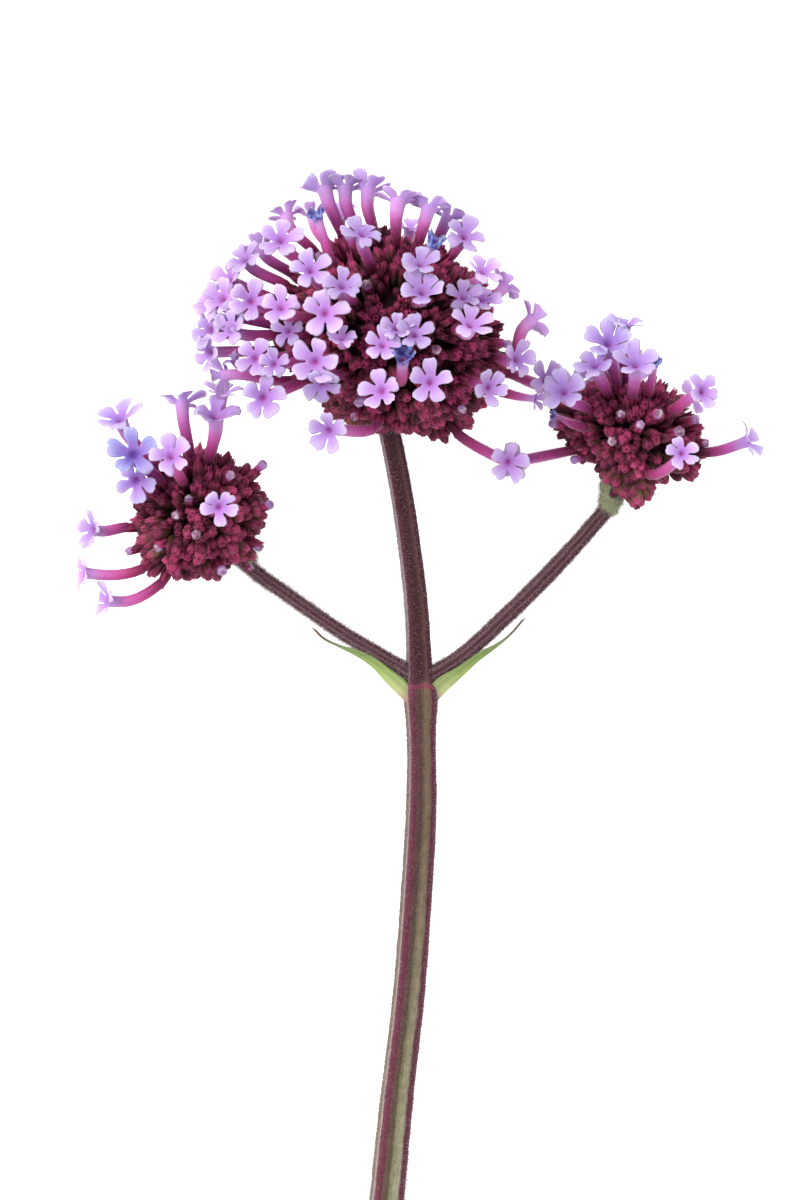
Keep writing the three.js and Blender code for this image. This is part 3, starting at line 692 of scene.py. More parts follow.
def stemSurface(line, facts, seed):
    # rings of the section carried along the line, a little uneven by three sine waves; the first and last
    # rows draw in to close the ends
    path = smoothLine(line, facts["rows"])
    along = unit(np.gradient(path[:, :3], axis=0))
    caps = np.array([0.0, 0.35, 0.7, 0.93])
    share = np.concatenate([caps, np.ones(len(path)), caps[::-1]])
    index = np.concatenate([0 * caps.astype(int), np.arange(len(path)), np.full(len(caps), len(path) - 1)])
    path, along = path[index], along[index]
    angle = turnsRound(facts["columns"])
    side, top = sideAndTop(along, up)
    phase = np.random.default_rng(seed).uniform(0, wholeTurn, 3)
    y = path[:, 1:2]
    waves = (np.sin(0.9 * y + 2 * angle + phase[0]) + np.sin(1.7 * y - angle + phase[1])
             + np.sin(0.33 * y + phase[2]))
    uneven = 1 + facts["wobble"] * waves
    radius = (path[:, 3:4] * section(angle, facts) * share[:, None] * uneven)[..., None]
    points = (path[:, None, :3] + radius * np.cos(angle)[None, :, None] * side[:, None]
              + radius * np.sin(angle)[None, :, None] * top[:, None])
    atFoot = (np.arange(len(share)) <= len(caps))[:, None]
    shift = facts["slant"] * (points[..., 0] - path[:, None, 0]) * atFoot
    points = points + along[:, None] * shift[..., None]
    # v runs 0 to 1 along the stem and is below 0 on the cut face
    v = np.where(np.arange(len(share)) < len(caps), share - 1, np.linspace(0, 1, len(share)))
    return points, v


def addStem(name, line, facts, material, slot, replaced, seed):
    # the surface with u round it and v along it, and the hairs on it
    points, v = stemSurface(line, facts, seed)
    rows, columns = points.shape[:2]
    cells = gridFaces(rows, columns, around=True)
    row, column = np.divmod(np.arange(len(cells)), columns)
    u = np.stack([column, column + 1, column + 1, column], axis=1) / columns
    uv = np.stack([u, np.stack([v[row], v[row], v[row + 1], v[row + 1]], axis=1)], axis=-1)
    points = points.reshape(-1, 3)
    first, quads, triangles, uv = weldCells(points, cells, uv)
    meshPiece(name, points[first], quads, triangles, material, [replaced], uv=uv)
    # hairs stand thickest on the ridges and lean a little towards the heads
    heading = unit(np.diff(points.reshape(rows, columns, 3).mean(axis=1), axis=0, append=0))
    heading[-1] = heading[-2]
    ridge = section((column + 0.5) / columns * wholeTurn, facts)
    weight = 0.35 + smooth(0.4, 0.5, ridge)
    weight = weight * (v[row] > 0) * (1 + 1.6 * smooth(0.82, 1.0, v[row]) * (slot == "branch"))
    addHairs(f"{name}_hairs", points, cells, hair[slot]["count"], hair[slot], seed + 50, weight,
             0.15 * heading[row])


addStem("green_stem", [[x, y, stemHeight(y), width] for x, y, width in stem["line"]], stem, stemMaterial,
        "stem", "main_stem", seed=1)
for seed, (sideName, facts) in enumerate(branches.items()):
    firstX, lastX = facts["line"][0][0], facts["line"][-1][0]
    facts["heights"] = lambda x, a=firstX, b=lastX, h=facts["topHeight"]: mix(
        stemHeight(stem["forkY"]), h, (x - a) / (b - a))
    addStem(f"{sideName}_side_branch", [[x, y, facts["heights"](x), width] for x, y, width in facts["line"]],
            branch, branchMaterial, "branch", f"{sideName}_branch", seed=5 + seed)
print("stem and branches")

# bracts under the branches

bract = {
    "lines": {
        # x, y and width, from the base to the tip
        "left": [[-0.5, 1.1, 2.2], [-1.9, 2.3, 2.4], [-3.8, 4.15, 2.7], [-5.8, 6.35, 2.1], [-7.9, 7.8, 1.5],
                 [-10.1, 8.9, 1.1], [-12.2, 10.0, 0.8], [-13.9, 11.8, 0.5]],
        "right": [[1.7, 1.1, 2.2], [2.9, 2.1, 2.4], [4.6, 3.75, 2.7], [6.1, 5.15, 2.3], [8.2, 7.1, 1.7],
                  [10.3, 8.7, 1.3], [12.4, 10.5, 0.9], [14.6, 13.1, 0.5]],
    },
    "fold": (2.0, 1.5),       # how far the edges close on the branch, at the base and further on
    "thickness": 0.3, "rows": 60, "columns": 13,
}


def bractSurface(sideName):
    # a blade folded along its keel: up = across x width / 2, and towards the branch = fold x |across| x
    # width / 2, rounded at the keel
    line = [[x, y, branches[sideName]["heights"](x), width] for x, y, width in bract["lines"][sideName]]
    path = smoothLine(line, bract["rows"])
    share = np.linspace(0, 1, len(path))[:, None]
    along = unit(np.gradient(path[:, :3], axis=0))
    inward = unit(np.cross(up, along)) * (-1 if sideName == "left" else 1)
    across = np.linspace(-1, 1, bract["columns"])[None, :]
    taper = 1 - smooth(0.93, 1.0, share)
    half = path[:, 3:4] / 2 * taper
    fold = mix(*bract["fold"], smooth(0.1, 0.4, share)) * (1 - 0.7 * smooth(0.55, 0.8, share))
    bow = fold * (np.sqrt(across**2 + 0.04) - 0.2) * half
    thick = bract["thickness"] * (1 - across**4) * taper
    grid = np.concatenate([
        path[:, None, :3] + (across * half)[..., None] * up + (bow + rise)[..., None] * inward[:, None]
        for rise in (0 * thick, thick[:, ::-1])], axis=1)
    grid[:, bract["columns"]:] = grid[:, :bract["columns"] - 1:-1]
    grid = closeEnds(grid)
    alongValue = np.concatenate([[0], share[:, 0], [1]])[:, None] + 0 * grid[..., 0]
    acrossValue = np.concatenate([across, across[:, ::-1]], axis=1) + 0 * grid[..., 0]
    return grid, alongValue, acrossValue


for seed, sideName in enumerate(branches):
    grid, alongValue, acrossValue = bractSurface(sideName)
    cells = gridFaces(*grid.shape[:2], around=True)
    grid = grid.reshape(-1, 3)
    first, quads, triangles, _ = weldCells(grid, cells)
    meshPiece(f"{sideName}_leafy_bract", grid[first], quads, triangles, bractMaterial,
              [f"{sideName}_bract"],
              {"along": alongValue.ravel()[first], "across": acrossValue.ravel()[first]})
    addHairs(f"{sideName}_bract_hairs", grid, cells, hair["bract"]["count"], hair["bract"],
             70 + seed, weight=1.2 - alongValue.ravel()[cells[:, 0]])
print("bracts")

# heads: where their florets and calyxes stand

# A floret is x, y and z from the middle of the dome, turn of its petals, size, and the way its face looks.
# Buds are x, y and z of a direction, size, and share of cream colour. Seats are the directions in which bent
# tubes start. Side, top and stem are the reach of the calyxes sideways, forwards and back; lean is how far
# the dome's middle lies from the head's. Spikes and each count the spikes of calyxes and those in a spike.
# A z that is `solved` is worked out: a floret's from its head's dome, any other's from the mass of calyxes.
solved = np.nan
rimShare = 0.15          # the lowest florets stand this share of the dome over its level plane
heads = {
    "central": {
        "middle": (-3.6, 47.8), "height": stem["topHeight"], "dome": 20.8, "lean": (-2.1, -0.2),
        "axis": (0.35, 0.93, 0.05),
        "side": 15.8, "top": 14.8, "stem": 11.0, "neck": 0.2, "stemCone": 15, "stemRadius": 1.5,
        "green": (-0.55, -0.8, 0.25), "knob": 0.35, "spikes": 84, "each": 16,
        "entry": (-0.08, -0.99), "neckFrom": -1.4, "extraSpikes": [],
        "florets": [
            [-6.2, 20.8, solved, 15, 1.15, -0.25, 0.85, -0.45],
            [-3.5, 20.9, solved, 40, 1.1, 0, 0.9, -0.45], [-0.5, 20.7, solved, 36, 1.1, 0.1, 0.9, -0.4],
            [3.4, 19.1, solved, 20, 1.15, 0.15, 0.88, -0.45],
            [7.3, 18.2, solved, 10, 1.1, 0.25, 0.87, -0.4], [9.8, 17, 3, 50, 1, 0.4, 0.8, -0.4],
            [12, 14.6, 6, 30, 1.05, 0.35, 0.5, 0.8], [-11.1, 17.4, solved, 0, 0.9, -0.2, 0.85, -0.45],
            [-11.8, 14, solved, 5, 1.05, -0.15, 0.45, 0.88], [-14.6, 13.1, 1, 40, 0.9, -0.5, 0.7, -0.5],
            [-16.5, 11.6, solved, 20, 0.95, -0.5, 0.6, 0.6],
            [-18.6, 9, solved, 0, 0.98, -0.7, 0.35, 0.6], [-7.9, 10, solved, -10, 1, 0, 0.45, 0.89],
            [-3.8, 7.9, 18.4, 0, 0.95, 0.05, 0.5, 0.86], [-6, 4.4, 18.5, 0, 1.12, 0, 0.15, 0.99],
            [-11.7, 5.2, solved, 0, 1, -0.1, 0.45, 0.89], [-15.6, 6.1, solved, 20, 1, -0.1, 0.2, 0.97],
            [-1.2, 14.7, solved, 36, 1, 0.05, 0.75, 0.66], [-20.7, 6.1, solved, 10, 1, -0.7, 0.25, 0.65],
            [-21.1, 2.5, solved, 30, 1, -0.7, 0.15, 0.65],
            [-18.2, 2.5, solved, 0, 0.95, -0.6, 0.35, 0.7],
            [-21.1, -0.4, solved, 20, 0.95, -0.75, -0.05, 0.6],
            [-15, -1.3, solved, 25, 0.95, -0.1, 0.2, 0.97],
            [-12.6, -2.1, solved, 0, 0.75, -0.1, 0.1, 0.97], [-17.9, -1.3, 5, 0, 0.7, -0.5, 0.75, 0.1],
            [-19.2, -3.5, solved, 10, 0.9, -0.6, -0.1, -0.4], [-10.8, 2.2, 13.5, 0, 0.8, -0.3, 0.2, 0.9],
            [-7.3, -1.8, 18.4, 18, 1.12, -0.1, 0.1, 0.99], [-6.4, -4.8, 18.2, 36, 0.95, 0, -0.5, 0.87],
            [-3.9, 1.2, 18.4, 0, 0.75, 0, 0.7, 0.7], [-14, -6.4, solved, 5, 1.08, 0, 0, 1],
            [-5.6, -10.7, solved, 5, 1, -0.35, -0.1, 0.93], [6.2, 10.8, solved, 5, 0.95, 0, 0.7, 0.7],
            [6.5, 7.2, 18, 36, 1.08, 0, 0.6, 0.8], [14.3, 9.9, solved, 0, 0.95, 0.35, 0.75, 0.55],
            [17.2, 8.1, solved, 30, 0.9, 0.6, 0.65, -0.4], [11.8, 6.6, 13, 0, 0.9, 0.2, 0.6, 0.75],
            [12.7, 3, solved, 10, 1.1, 0.25, 0.7, 0.65], [14.1, 6.4, 11, 36, 0.85, 0.4, 0.5, 0.75],
            [20.8, 3.8, 5, 0, 1.05, 0.72, 0.6, -0.3], [1.4, 0.3, 18.3, 10, 0.88, 0, 0.4, 0.9],
            [3.2, 2.5, 18, 0, 0.8, 0, 0.5, 0.85], [5.5, 1.7, 18.6, 0, 0.9, 0.1, 0.45, 0.88],
            [1.2, -5.6, 18.4, -10, 1, -0.3, 0.15, 0.94], [7.5, -4.5, 18.4, 5, 1.05, 0, 0.1, 0.99],
            [18.7, -1.4, solved, 15, 0.95, 0.6, 0.2, 0.75],
            [15.1, -5.1, solved, -30, 0.88, 0.35, 0.05, 0.93], [22.6, -4, -2, 36, 1, 0.5, 0.3, 0.8],
            [21.1, -6.4, solved, 0, 0.58, 0.8, -0.1, 0.3], [17.7, -14.6, 3, 10, 0.95, 0.2, -0.1, 0.97],
            [-19.4, 6.5, 6.5, 10, 0.95, -0.45, 0.35, 0.82], [-18, 4.2, 9, 40, 0.85, -0.5, 0.1, 0.86],
            [4.9, 15.8, -8, 20, 0.9, 0.1, 0.9, 0.3], [-4.2, 17.6, -7, 50, 0.85, 0, 0.8, 0.5],
            [-7.9, 17.7, -7, 0, 0.85, -0.2, 0.9, -0.2],
        ],
        "blue": {},
        "seats": {39: (0.98, -0.08, 0.2), 49: (0.62, -0.77, 0.1), 48: (0.9, -0.35, 0.2),
                  31: (-0.1, -0.75, 0.6), 25: (-0.9, -0.3, 0.2)},
        "buds": [[-6.1, 17.5, 8, 0.85, 0.35], [-11.1, 14.5, 9, 0.7, 0.55], [14.4, 0.5, 6, 0.7, 0.35],
                 [-4.3, -8.9, 15, 0.8, 0.6],
                 [-2.8, 8, solved, 0.8, 1], [6.3, -0.5, solved, 0.75, 1], [-4.3, -8.9, solved, 0.7, 1],
                 [2.3, 7.5, solved, 0.75, 0.8], [9.5, -8.2, solved, 0.7, 0.7],
                 [-9.4, -4.4, solved, 0.75, 1]],
        # a dried floret is x, y and z, x, y and z of the foot of its tube, and size
        "dried": [[-9.1, 16.6, 7, -7.4, 11, solved, 0.7], [5.7, 13, 13, 3.6, 8.4, solved, 0.8],
                  [1.9, -1.6, 17.8, 1.7, -4.6, solved, 0.92]],
    },
    "left": {
        "middle": (-28.1, 25.5), "height": branches["left"]["topHeight"], "dome": 16.2, "lean": (0, 0),
        "axis": (-0.72, 0.69, 0.0),
        "side": 9.6, "top": 9.2, "stem": 7.8, "neck": 1.2, "stemCone": 12, "stemRadius": 1.05,
        "green": (-0.8, -0.35, 0.5), "knob": 0.75, "spikes": 38, "each": 12,
        "entry": (0.77, -0.63), "neckFrom": -0.9, "extraSpikes": [],
        "florets": [
            [-10.4, 13.1, 6, 0, 1.1, -0.3, 0.75, 0.55], [-8.5, 8.5, solved, -5, 1.18, -0.1, 0.3, 0.95],
            [-8.2, 5.1, 8, 30, 1.05, -0.1, -0.2, 0.97], [-3.6, 8.2, solved, -15, 1, 0, 0.4, 0.9],
            [-2.3, 15.2, 7, 0, 1.05, -0.05, 0.9, -0.4], [2.1, 13.5, solved, 0, 1.22, 0, 0.8, 0.6],
            [2.9, 16.5, 6.5, 30, 0.95, 0.1, 0.85, 0.3], [2.6, 1.6, 13.5, 36, 0.9, 0, 0, 1],
            [-14, -1.3, 2, 0, 0.95, -0.8, 0.1, 0.55], [-15.1, -6.9, 1, 36, 0.92, -0.93, 0.1, 0.3],
            [-12.1, -10.5, 1.6, 0, 0.95, -0.9, 0.1, 0.35],
        ],
        "blue": {0: 0.3, 1: 0.9, 2: 0.4, 3: 0.1}, "seats": {9: (-0.76, -0.64, 0.1), 10: (-0.53, -0.84, 0.1)},
        "buds": [[9.5, 8.4, 1, 0.8, 0.55], [8.8, 2, 3, 0.75, 0.6], [2.9, -6.9, 5, 0.8, 0.7],
                 [7.6, -3.3, solved, 0.75, 0.8],
                 [-0.5, -2, solved, 0.75, 1], [-5.4, -3.5, solved, 0.7, 0.8],
                 [-10.2, -4.6, solved, 0.7, 0.6],
                 [3.9, 5.8, solved, 0.75, 0.7], [6.8, -6.4, solved, 0.7, 1], [-3, 0.6, solved, 0.7, 1],
                 [-1.5, 2.6, solved, 0.7, 0.8]],
        "dried": [],
    },
    "right": {
        "middle": (27.6, 36.1), "height": branches["right"]["topHeight"], "dome": 16.2, "lean": (0, 0),
        "axis": (0.32, 0.95, 0.0),
        "side": 10.2, "top": 8.2, "stem": 4.7, "neck": 0.6, "stemCone": 15, "stemRadius": 1.15,
        "green": (0.1, -0.9, 0.3), "knob": 0.85, "spikes": 38, "each": 12,
        "entry": (-0.27, -0.96), "neckFrom": 4.0,
        "extraSpikes": [[0.12, -0.93, 0.3, 9.4], [-0.08, -0.88, 0.48, 8.2], [0.3, -0.85, 0.4, 7.2],
                        [0.05, -0.95, -0.3, 8.6], [-0.4, -0.85, -0.2, 7.0]],
        "florets": [
            [-2.7, 12.3, solved, 0, 1.14, 0, 0.5, 0.85], [-0.5, 14.7, 8.5, 20, 0.95, 0.2, 0.9, 0.2],
            [-4.4, 9.4, 11, 30, 0.95, -0.3, 0.6, 0.7], [0.8, 9.5, solved, -10, 1.08, 0, 0.65, 0.75],
            [-8.5, 6, solved, -5, 1.1, -0.2, 0.45, 0.87], [9.5, 6, solved, 30, 0.9, 0.5, 0.2, 0.85],
            [15.6, -0.3, 1, 0, 0.9, 0.9, 0.33, 0.25], [6.8, -2, 13, -10, 0.8, 0.1, 0.2, 0.97],
            [-14.4, -2.9, -2.6, 20, 0.9, -0.5, -0.1, 0.7],
        ],
        "blue": {0: 0.38, 1: 0.35, 2: 0.2, 3: 0.2, 4: 0.15, 6: 0.3},
        "seats": {6: (0.98, -0.17, 0.1), 7: (0.35, -0.6, 0.75), 8: (-0.97, -0.2, 0.1)},
        "buds": [[1.5, 1.6, 10, 0.7, 0.6], [9.3, 2.7, 5, 0.7, 0.6], [-8.8, 1.7, 4, 0.7, 0.35],
                 [-10.5, -4.2, 1, 0.7, 0.35],
                 [-2.2, -0.4, solved, 0.75, 1], [11.3, -0.8, solved, 0.7, 0.7], [6.5, 0.7, solved, 0.8, 1],
                 [-1.2, 3, solved, 0.7, 0.8], [3.6, 3.1, solved, 0.8, 1]],
        "dried": [[3.4, 9.6, 9, 2.6, 6, solved, 0.5], [-9.4, 2.9, 3, -6, 1.4, solved, 0.4]],
    },
}
farSide = {"from": 10, "within": 11.8, "drawnIn": 0.93, "turn": 12}   # high florets are repeated below
mirror = np.array([1, 1, -1])
seatOver = 0.3           # open florets' tubes start this far over the mass, and dried ones' as far under it


def reachAlong(head, out):
    # an ellipsoid, shorter towards the stem, with a neck close round the stem
    along = out @ head["axisLine"]
    across = np.sqrt(np.clip(1 - along**2, 0, None))
    length = np.where(along > 0, head["top"], head["stem"])
    neck = np.where(along < 0, head["neck"] * np.exp(-(across / 0.45)**2), 0)
    return 1 / np.hypot(along / length, across / head["side"]) + neck


def outwards(head, places):
    # directions of places; a `solved` z is that of the mass over x and y, sqrt(reach^2 - x^2 - y^2), which
    # is found again and again because the reach depends on the direction
    places = np.array(places, float)
    flat = (places[:, :2]**2).sum(axis=1)
    unknown = np.isnan(places[:, 2])
    places[unknown, 2] = 5
    for _ in range(8):
        height = np.sqrt(np.maximum(reachAlong(head, unit(places))**2 - flat, 0.5))
        places[unknown, 2] = height[unknown]
    return unit(places)


def referenceFor(facing):
    # what a floret's turn is measured from: ahead, or up where its face looks almost ahead
    return np.where(np.abs(facing[:, 1:2]) > 0.95, up, ahead)


def placeFlorets(head):
    # the near florets as listed, where a `solved` z is sqrt(dome^2 - x^2 - y^2) and at least the rim's; the
    # far ones are those that stand high, mirrored in the level plane
    rows = np.array(head["florets"], float)
    flat = (rows[:, :2]**2).sum(axis=1)
    onDome = np.sqrt(np.maximum(head["dome"]**2 - flat, (rimShare * head["dome"])**2))
    rows[:, 2] = np.where(np.isnan(rows[:, 2]), onDome, rows[:, 2])
    throat = rows[:, :3] + np.array([*head["lean"], 0])
    turn, size = rows[:, 3:5].T
    facing = rows[:, 5:]
    high = (rows[:, 2] > farSide["from"]) & (np.hypot(rows[:, 0], rows[:, 1]) < farSide["within"])
    far = throat[high] * mirror * farSide["drawnIn"]
    throat = np.concatenate([throat, far])
    facing = unit(np.concatenate([facing, facing[high] * mirror]))
    out = unit(throat)
    for index, way in head["seats"].items():
        out[index] = unit(np.array(way))
    return {
        "throat": throat + head["centre"], "out": out, "facing": facing,
        "reference": referenceFor(facing),
        "seat": out * (reachAlong(head, out)[:, None] + seatOver) + head["centre"],
        "turn": np.radians(np.concatenate([turn, turn[high] + farSide["turn"]])),
        "size": np.concatenate([size, size[high]]), "near": len(rows),
    }


for head in heads.values():
    head["centre"] = np.array([*head["middle"], head["height"]])
    head["axisLine"] = unit(np.array(head["axis"]))
    head["placed"] = placeFlorets(head)
    head["budOut"] = outwards(head, np.array(head["buds"])[:, :3])
    head["budSeat"] = head["centre"] + head["budOut"] * reachAlong(head, head["budOut"])[:, None]

# calyxes

calyx = {
    "columns": 10,            # five ribs and five grooves
    # height, radius on the ribs and radius in the grooves
    "rows": [(1.0, 0.56, 0.5), (2.1, 0.72, 0.64), (2.95, 0.62, 0.53)],
    "tooth": 3.9, "notch": 3.4, "innerPole": 2.7,
    "shut": (0.1, 0.36), "open": (0.5, 0.42),       # radius of the teeth and of the notches between
    # what a blunt one's rings gain in radius on the ribs and in the grooves, and in height on both
    "blunt": [(0, 0, 0, 0.02, 0.24, 0), (0, 0.03, 0.07, 0.1, -0.02, 0), (0, 0, 0, 0, -0.42, 1.02),
              (0, 0, 0, 0, 0.02, 1.02)],
    "filled": 0.5, "sunk": (0.5, 2.2),              # share of calyxes in the gaps, and how deep they sit
    "length": 3.4, "dome": (2.4, 1.2),
    "tiltOuter": (52, 28), "tiltInner": 3,
    # towards the stem and towards the top of the head: where the change lies, length and width
    "thinFrom": (-0.3, 0.65), "lengths": (1.0, 1.34), "widths": (1.15, 0.92),
    "scatter": 0.075, "reach": (0.9, 1.04),         # how far spikes stray, sideways and in height
    "clear": 0.95,                                  # none stands closer than this to a floret's own
    "greenWithin": (0.86, 0.98),                    # cosines from the green direction
    "own": (1.04, 1.08, 0.8, 0, 0),                 # length, width, opened, olive and knob of a floret's own
    # the core's values give it a near-black wine from the ramp, painted shade deep inside the mass
    "core": {"along": 0.42, "rib": 0, "tone": 0.4, "olive": 0},
}


def calyxShape():
    # rings of ribs and grooves, a ring of five teeth and a hollow that closes in a point inside
    rib = (np.arange(calyx["columns"]) % 2 == 0).astype(float)
    angle = turnsRound(calyx["columns"])
    ray = np.stack([np.cos(angle), np.sin(angle)], axis=-1)
    radius = np.array([0 * rib] + [mix(groove, ridge, rib) for _, ridge, groove in calyx["rows"]]
                      + [mix(calyx["shut"][1], calyx["shut"][0], rib), 0 * rib])
    height = np.array([0 * rib] + [z + 0 * rib for z, _, _ in calyx["rows"]]
                      + [mix(calyx["notch"], calyx["tooth"], rib), calyx["innerPole"] + 0 * rib])
    opened = 0 * radius
    opened[-2] = mix(calyx["open"][1], calyx["open"][0], rib) - radius[-2]
    shape = np.concatenate([radius[..., None] * ray, height[..., None]], axis=-1)
    delta = np.concatenate([opened[..., None] * ray, 0 * height[..., None]], axis=-1)
    ridge, groove, ridgeRise, grooveRise = np.array(calyx["blunt"], float)[..., None]
    blunt = np.concatenate([mix(groove, ridge, rib)[..., None] * ray,
                            mix(grooveRise, ridgeRise, rib)[..., None]], axis=-1)
    along = np.clip(height / calyx["tooth"], 0, 1)
    along[-1] = 0.1
    ribs = rib * smooth(0.1, 0.5, along)
    first, quads, triangles = weldRound(shape)
    shape, delta, blunt = (values.reshape(-1, 3)[first] for values in (shape, delta, blunt))
    return shape, delta, blunt, quads, triangles, along.ravel()[first], ribs.ravel()[first]


def spiralDirections(axis, count):
    # the turns of a spiral from the axis: cos = 1 - 2 (n + 0.5) / count, angle = n golden angles
    n = np.arange(count)
    cosine = 1 - 2 * (n + 0.5) / count
    side, top = sideAndTop(axis[None], up)
    around = side * np.cos(n * golden)[:, None] + top * np.sin(n * golden)[:, None]
    return axis * cosine[:, None] + around * np.sqrt(1 - cosine**2)[:, None]


def clearOfStem(head, out):
    # the directions that lie outside the cone in which the stem arrives
    return out[out @ head["axisLine"] > -np.cos(np.radians(head["stemCone"]))]


def placeCalyxes(head, draws):
    # short spikes of calyxes: the outer ones of a spike stand out sideways, and the inner ones along it.
    # tip height = reach - dome (1 - share)^1.5, and tilt falls from tiltOuter to tiltInner. Towards the top
    # of the head they are long, thin and side by side; towards its stem they are stout and spread.
    spikes = clearOfStem(head, spiralDirections(head["axisLine"], head["spikes"]))
    spikes = unit(spikes + draws.normal(0, calyx["scatter"], spikes.shape))
    reach = reachAlong(head, spikes)[:, None] * draws.uniform(*calyx["reach"], (len(spikes), 1))
    if head["extraSpikes"]:
        extra = np.array(head["extraSpikes"])
        spikes, reach = np.concatenate([spikes, unit(extra[:, :3])]), np.concatenate([reach, extra[:, 3:]])
    forward = (spikes @ head["axisLine"])[:, None]
    thin = smooth(*calyx["thinFrom"], forward)
    share = ((np.arange(head["each"]) + 0.5) / head["each"])[None]
    shape = (len(spikes), head["each"])
    length = mix(*calyx["lengths"], thin) * draws.uniform(0.84, 1.1, shape) * mix(1.0, 0.88, share)
    width = mix(*calyx["widths"], thin) * draws.uniform(0.85, 1.12, shape)
    tilt = np.radians(mix(mix(*calyx["tiltOuter"], thin), calyx["tiltInner"], share**0.8))
    tilt = tilt + draws.normal(0, 0.08, shape)
    turn = np.arange(head["each"])[None] * golden + draws.uniform(*anyTurn, (len(spikes), 1))
    turn = turn + draws.normal(0, 0.2, shape)
    side, top = sideAndTop(spikes, np.array([0.31, 0.2, 0.93]))
    ray = side[:, None] * np.cos(turn)[..., None] + top[:, None] * np.sin(turn)[..., None]
    direction = spikes[:, None] * np.cos(tilt)[..., None] + ray * np.sin(tilt)[..., None]
    tipHeight = reach - mix(*calyx["dome"], thin) * (1 - share)**1.5 + draws.normal(0, 0.3, shape)
    foot = np.clip(tipHeight - calyx["length"] * length * np.cos(tilt), 1.0, None)
    origin = head["centre"] + spikes[:, None] * foot[..., None] + 0.5 * (1 - share[..., None]) * ray
    opened = np.clip(0.1 + 0.8 * forward + draws.normal(0, 0.3, shape), 0, 1) * (1 - share**2)
    young = 0.2 - 0.5 * forward + draws.normal(0, 0.25, (len(spikes), 1))
    olive = np.clip(young + draws.normal(0, 0.22, shape), 0, 1)
    knob = np.clip(head["knob"] * (1 - thin) + draws.normal(0, 0.25, shape), 0, 1)
    found = [origin.reshape(-1, 3), direction.reshape(-1, 3), *(values.ravel() for values in (
        length, width, opened, olive, knob))]
    # the gaps between the spikes are filled with single ones that sit deeper
    count = int(calyx["filled"] * len(length.ravel()))
    out = clearOfStem(head, unit(draws.normal(0, 1, (count, 3))))
    forward = out @ head["axisLine"]
    tip = head["centre"] + out * (reachAlong(head, out) - draws.uniform(*calyx["sunk"], len(out)))[:, None]
    way = unit(out + draws.normal(0, 0.2, out.shape))
    size = draws.uniform(0.85, 1.1, len(out))
    more = [tip - way * calyx["length"] * size[:, None], way, size, draws.uniform(0.9, 1.15, len(out)),
            0.3 * smooth(0, 1, forward), 0.4 + 0 * forward,
            head["knob"] * (1 - smooth(*calyx["thinFrom"], forward))]
    found = [np.concatenate(pair) for pair in zip(found, more)]
    wayOut = unit(found[0] + 2 * found[1] - head["centre"])
    green = smooth(*calyx["greenWithin"], wayOut @ unit(np.array(head["green"])))
    found[5] = np.clip(found[5] + 1.3 * green, 0, 1.4)
    # none stands in the place of a floret's or a bud's own calyx
    tips = found[0] + found[1] * calyx["length"] * found[2][:, None]
    taken = np.concatenate([head["placed"]["seat"], head["budSeat"]])
    distance = np.linalg.norm(tips[:, None] - taken[None], axis=-1).min(axis=1)
    return [values[distance > calyx["clear"]] for values in found]


def headCore(head):
    # a rounded body inside the calyxes that no light passes, painted near black as shade: the reach less
    # their depth
    rows, columns = 26, 40
    polar = np.linspace(0, np.pi, rows)[:, None]
    angle = turnsRound(columns)[None]
    side, top = sideAndTop(head["axisLine"][None], up)
    out = (np.cos(polar)[..., None] * head["axisLine"] + (np.sin(polar) * np.cos(angle))[..., None] * side
           + (np.sin(polar) * np.sin(angle))[..., None] * top)
    deep = np.clip(reachAlong(head, out) - calyx["length"] - 0.9, 1.6, None)
    grid = head["centre"] + out * deep[..., None]
    first, quads, triangles = weldRound(grid)
    return grid.reshape(-1, 3)[first], quads, triangles


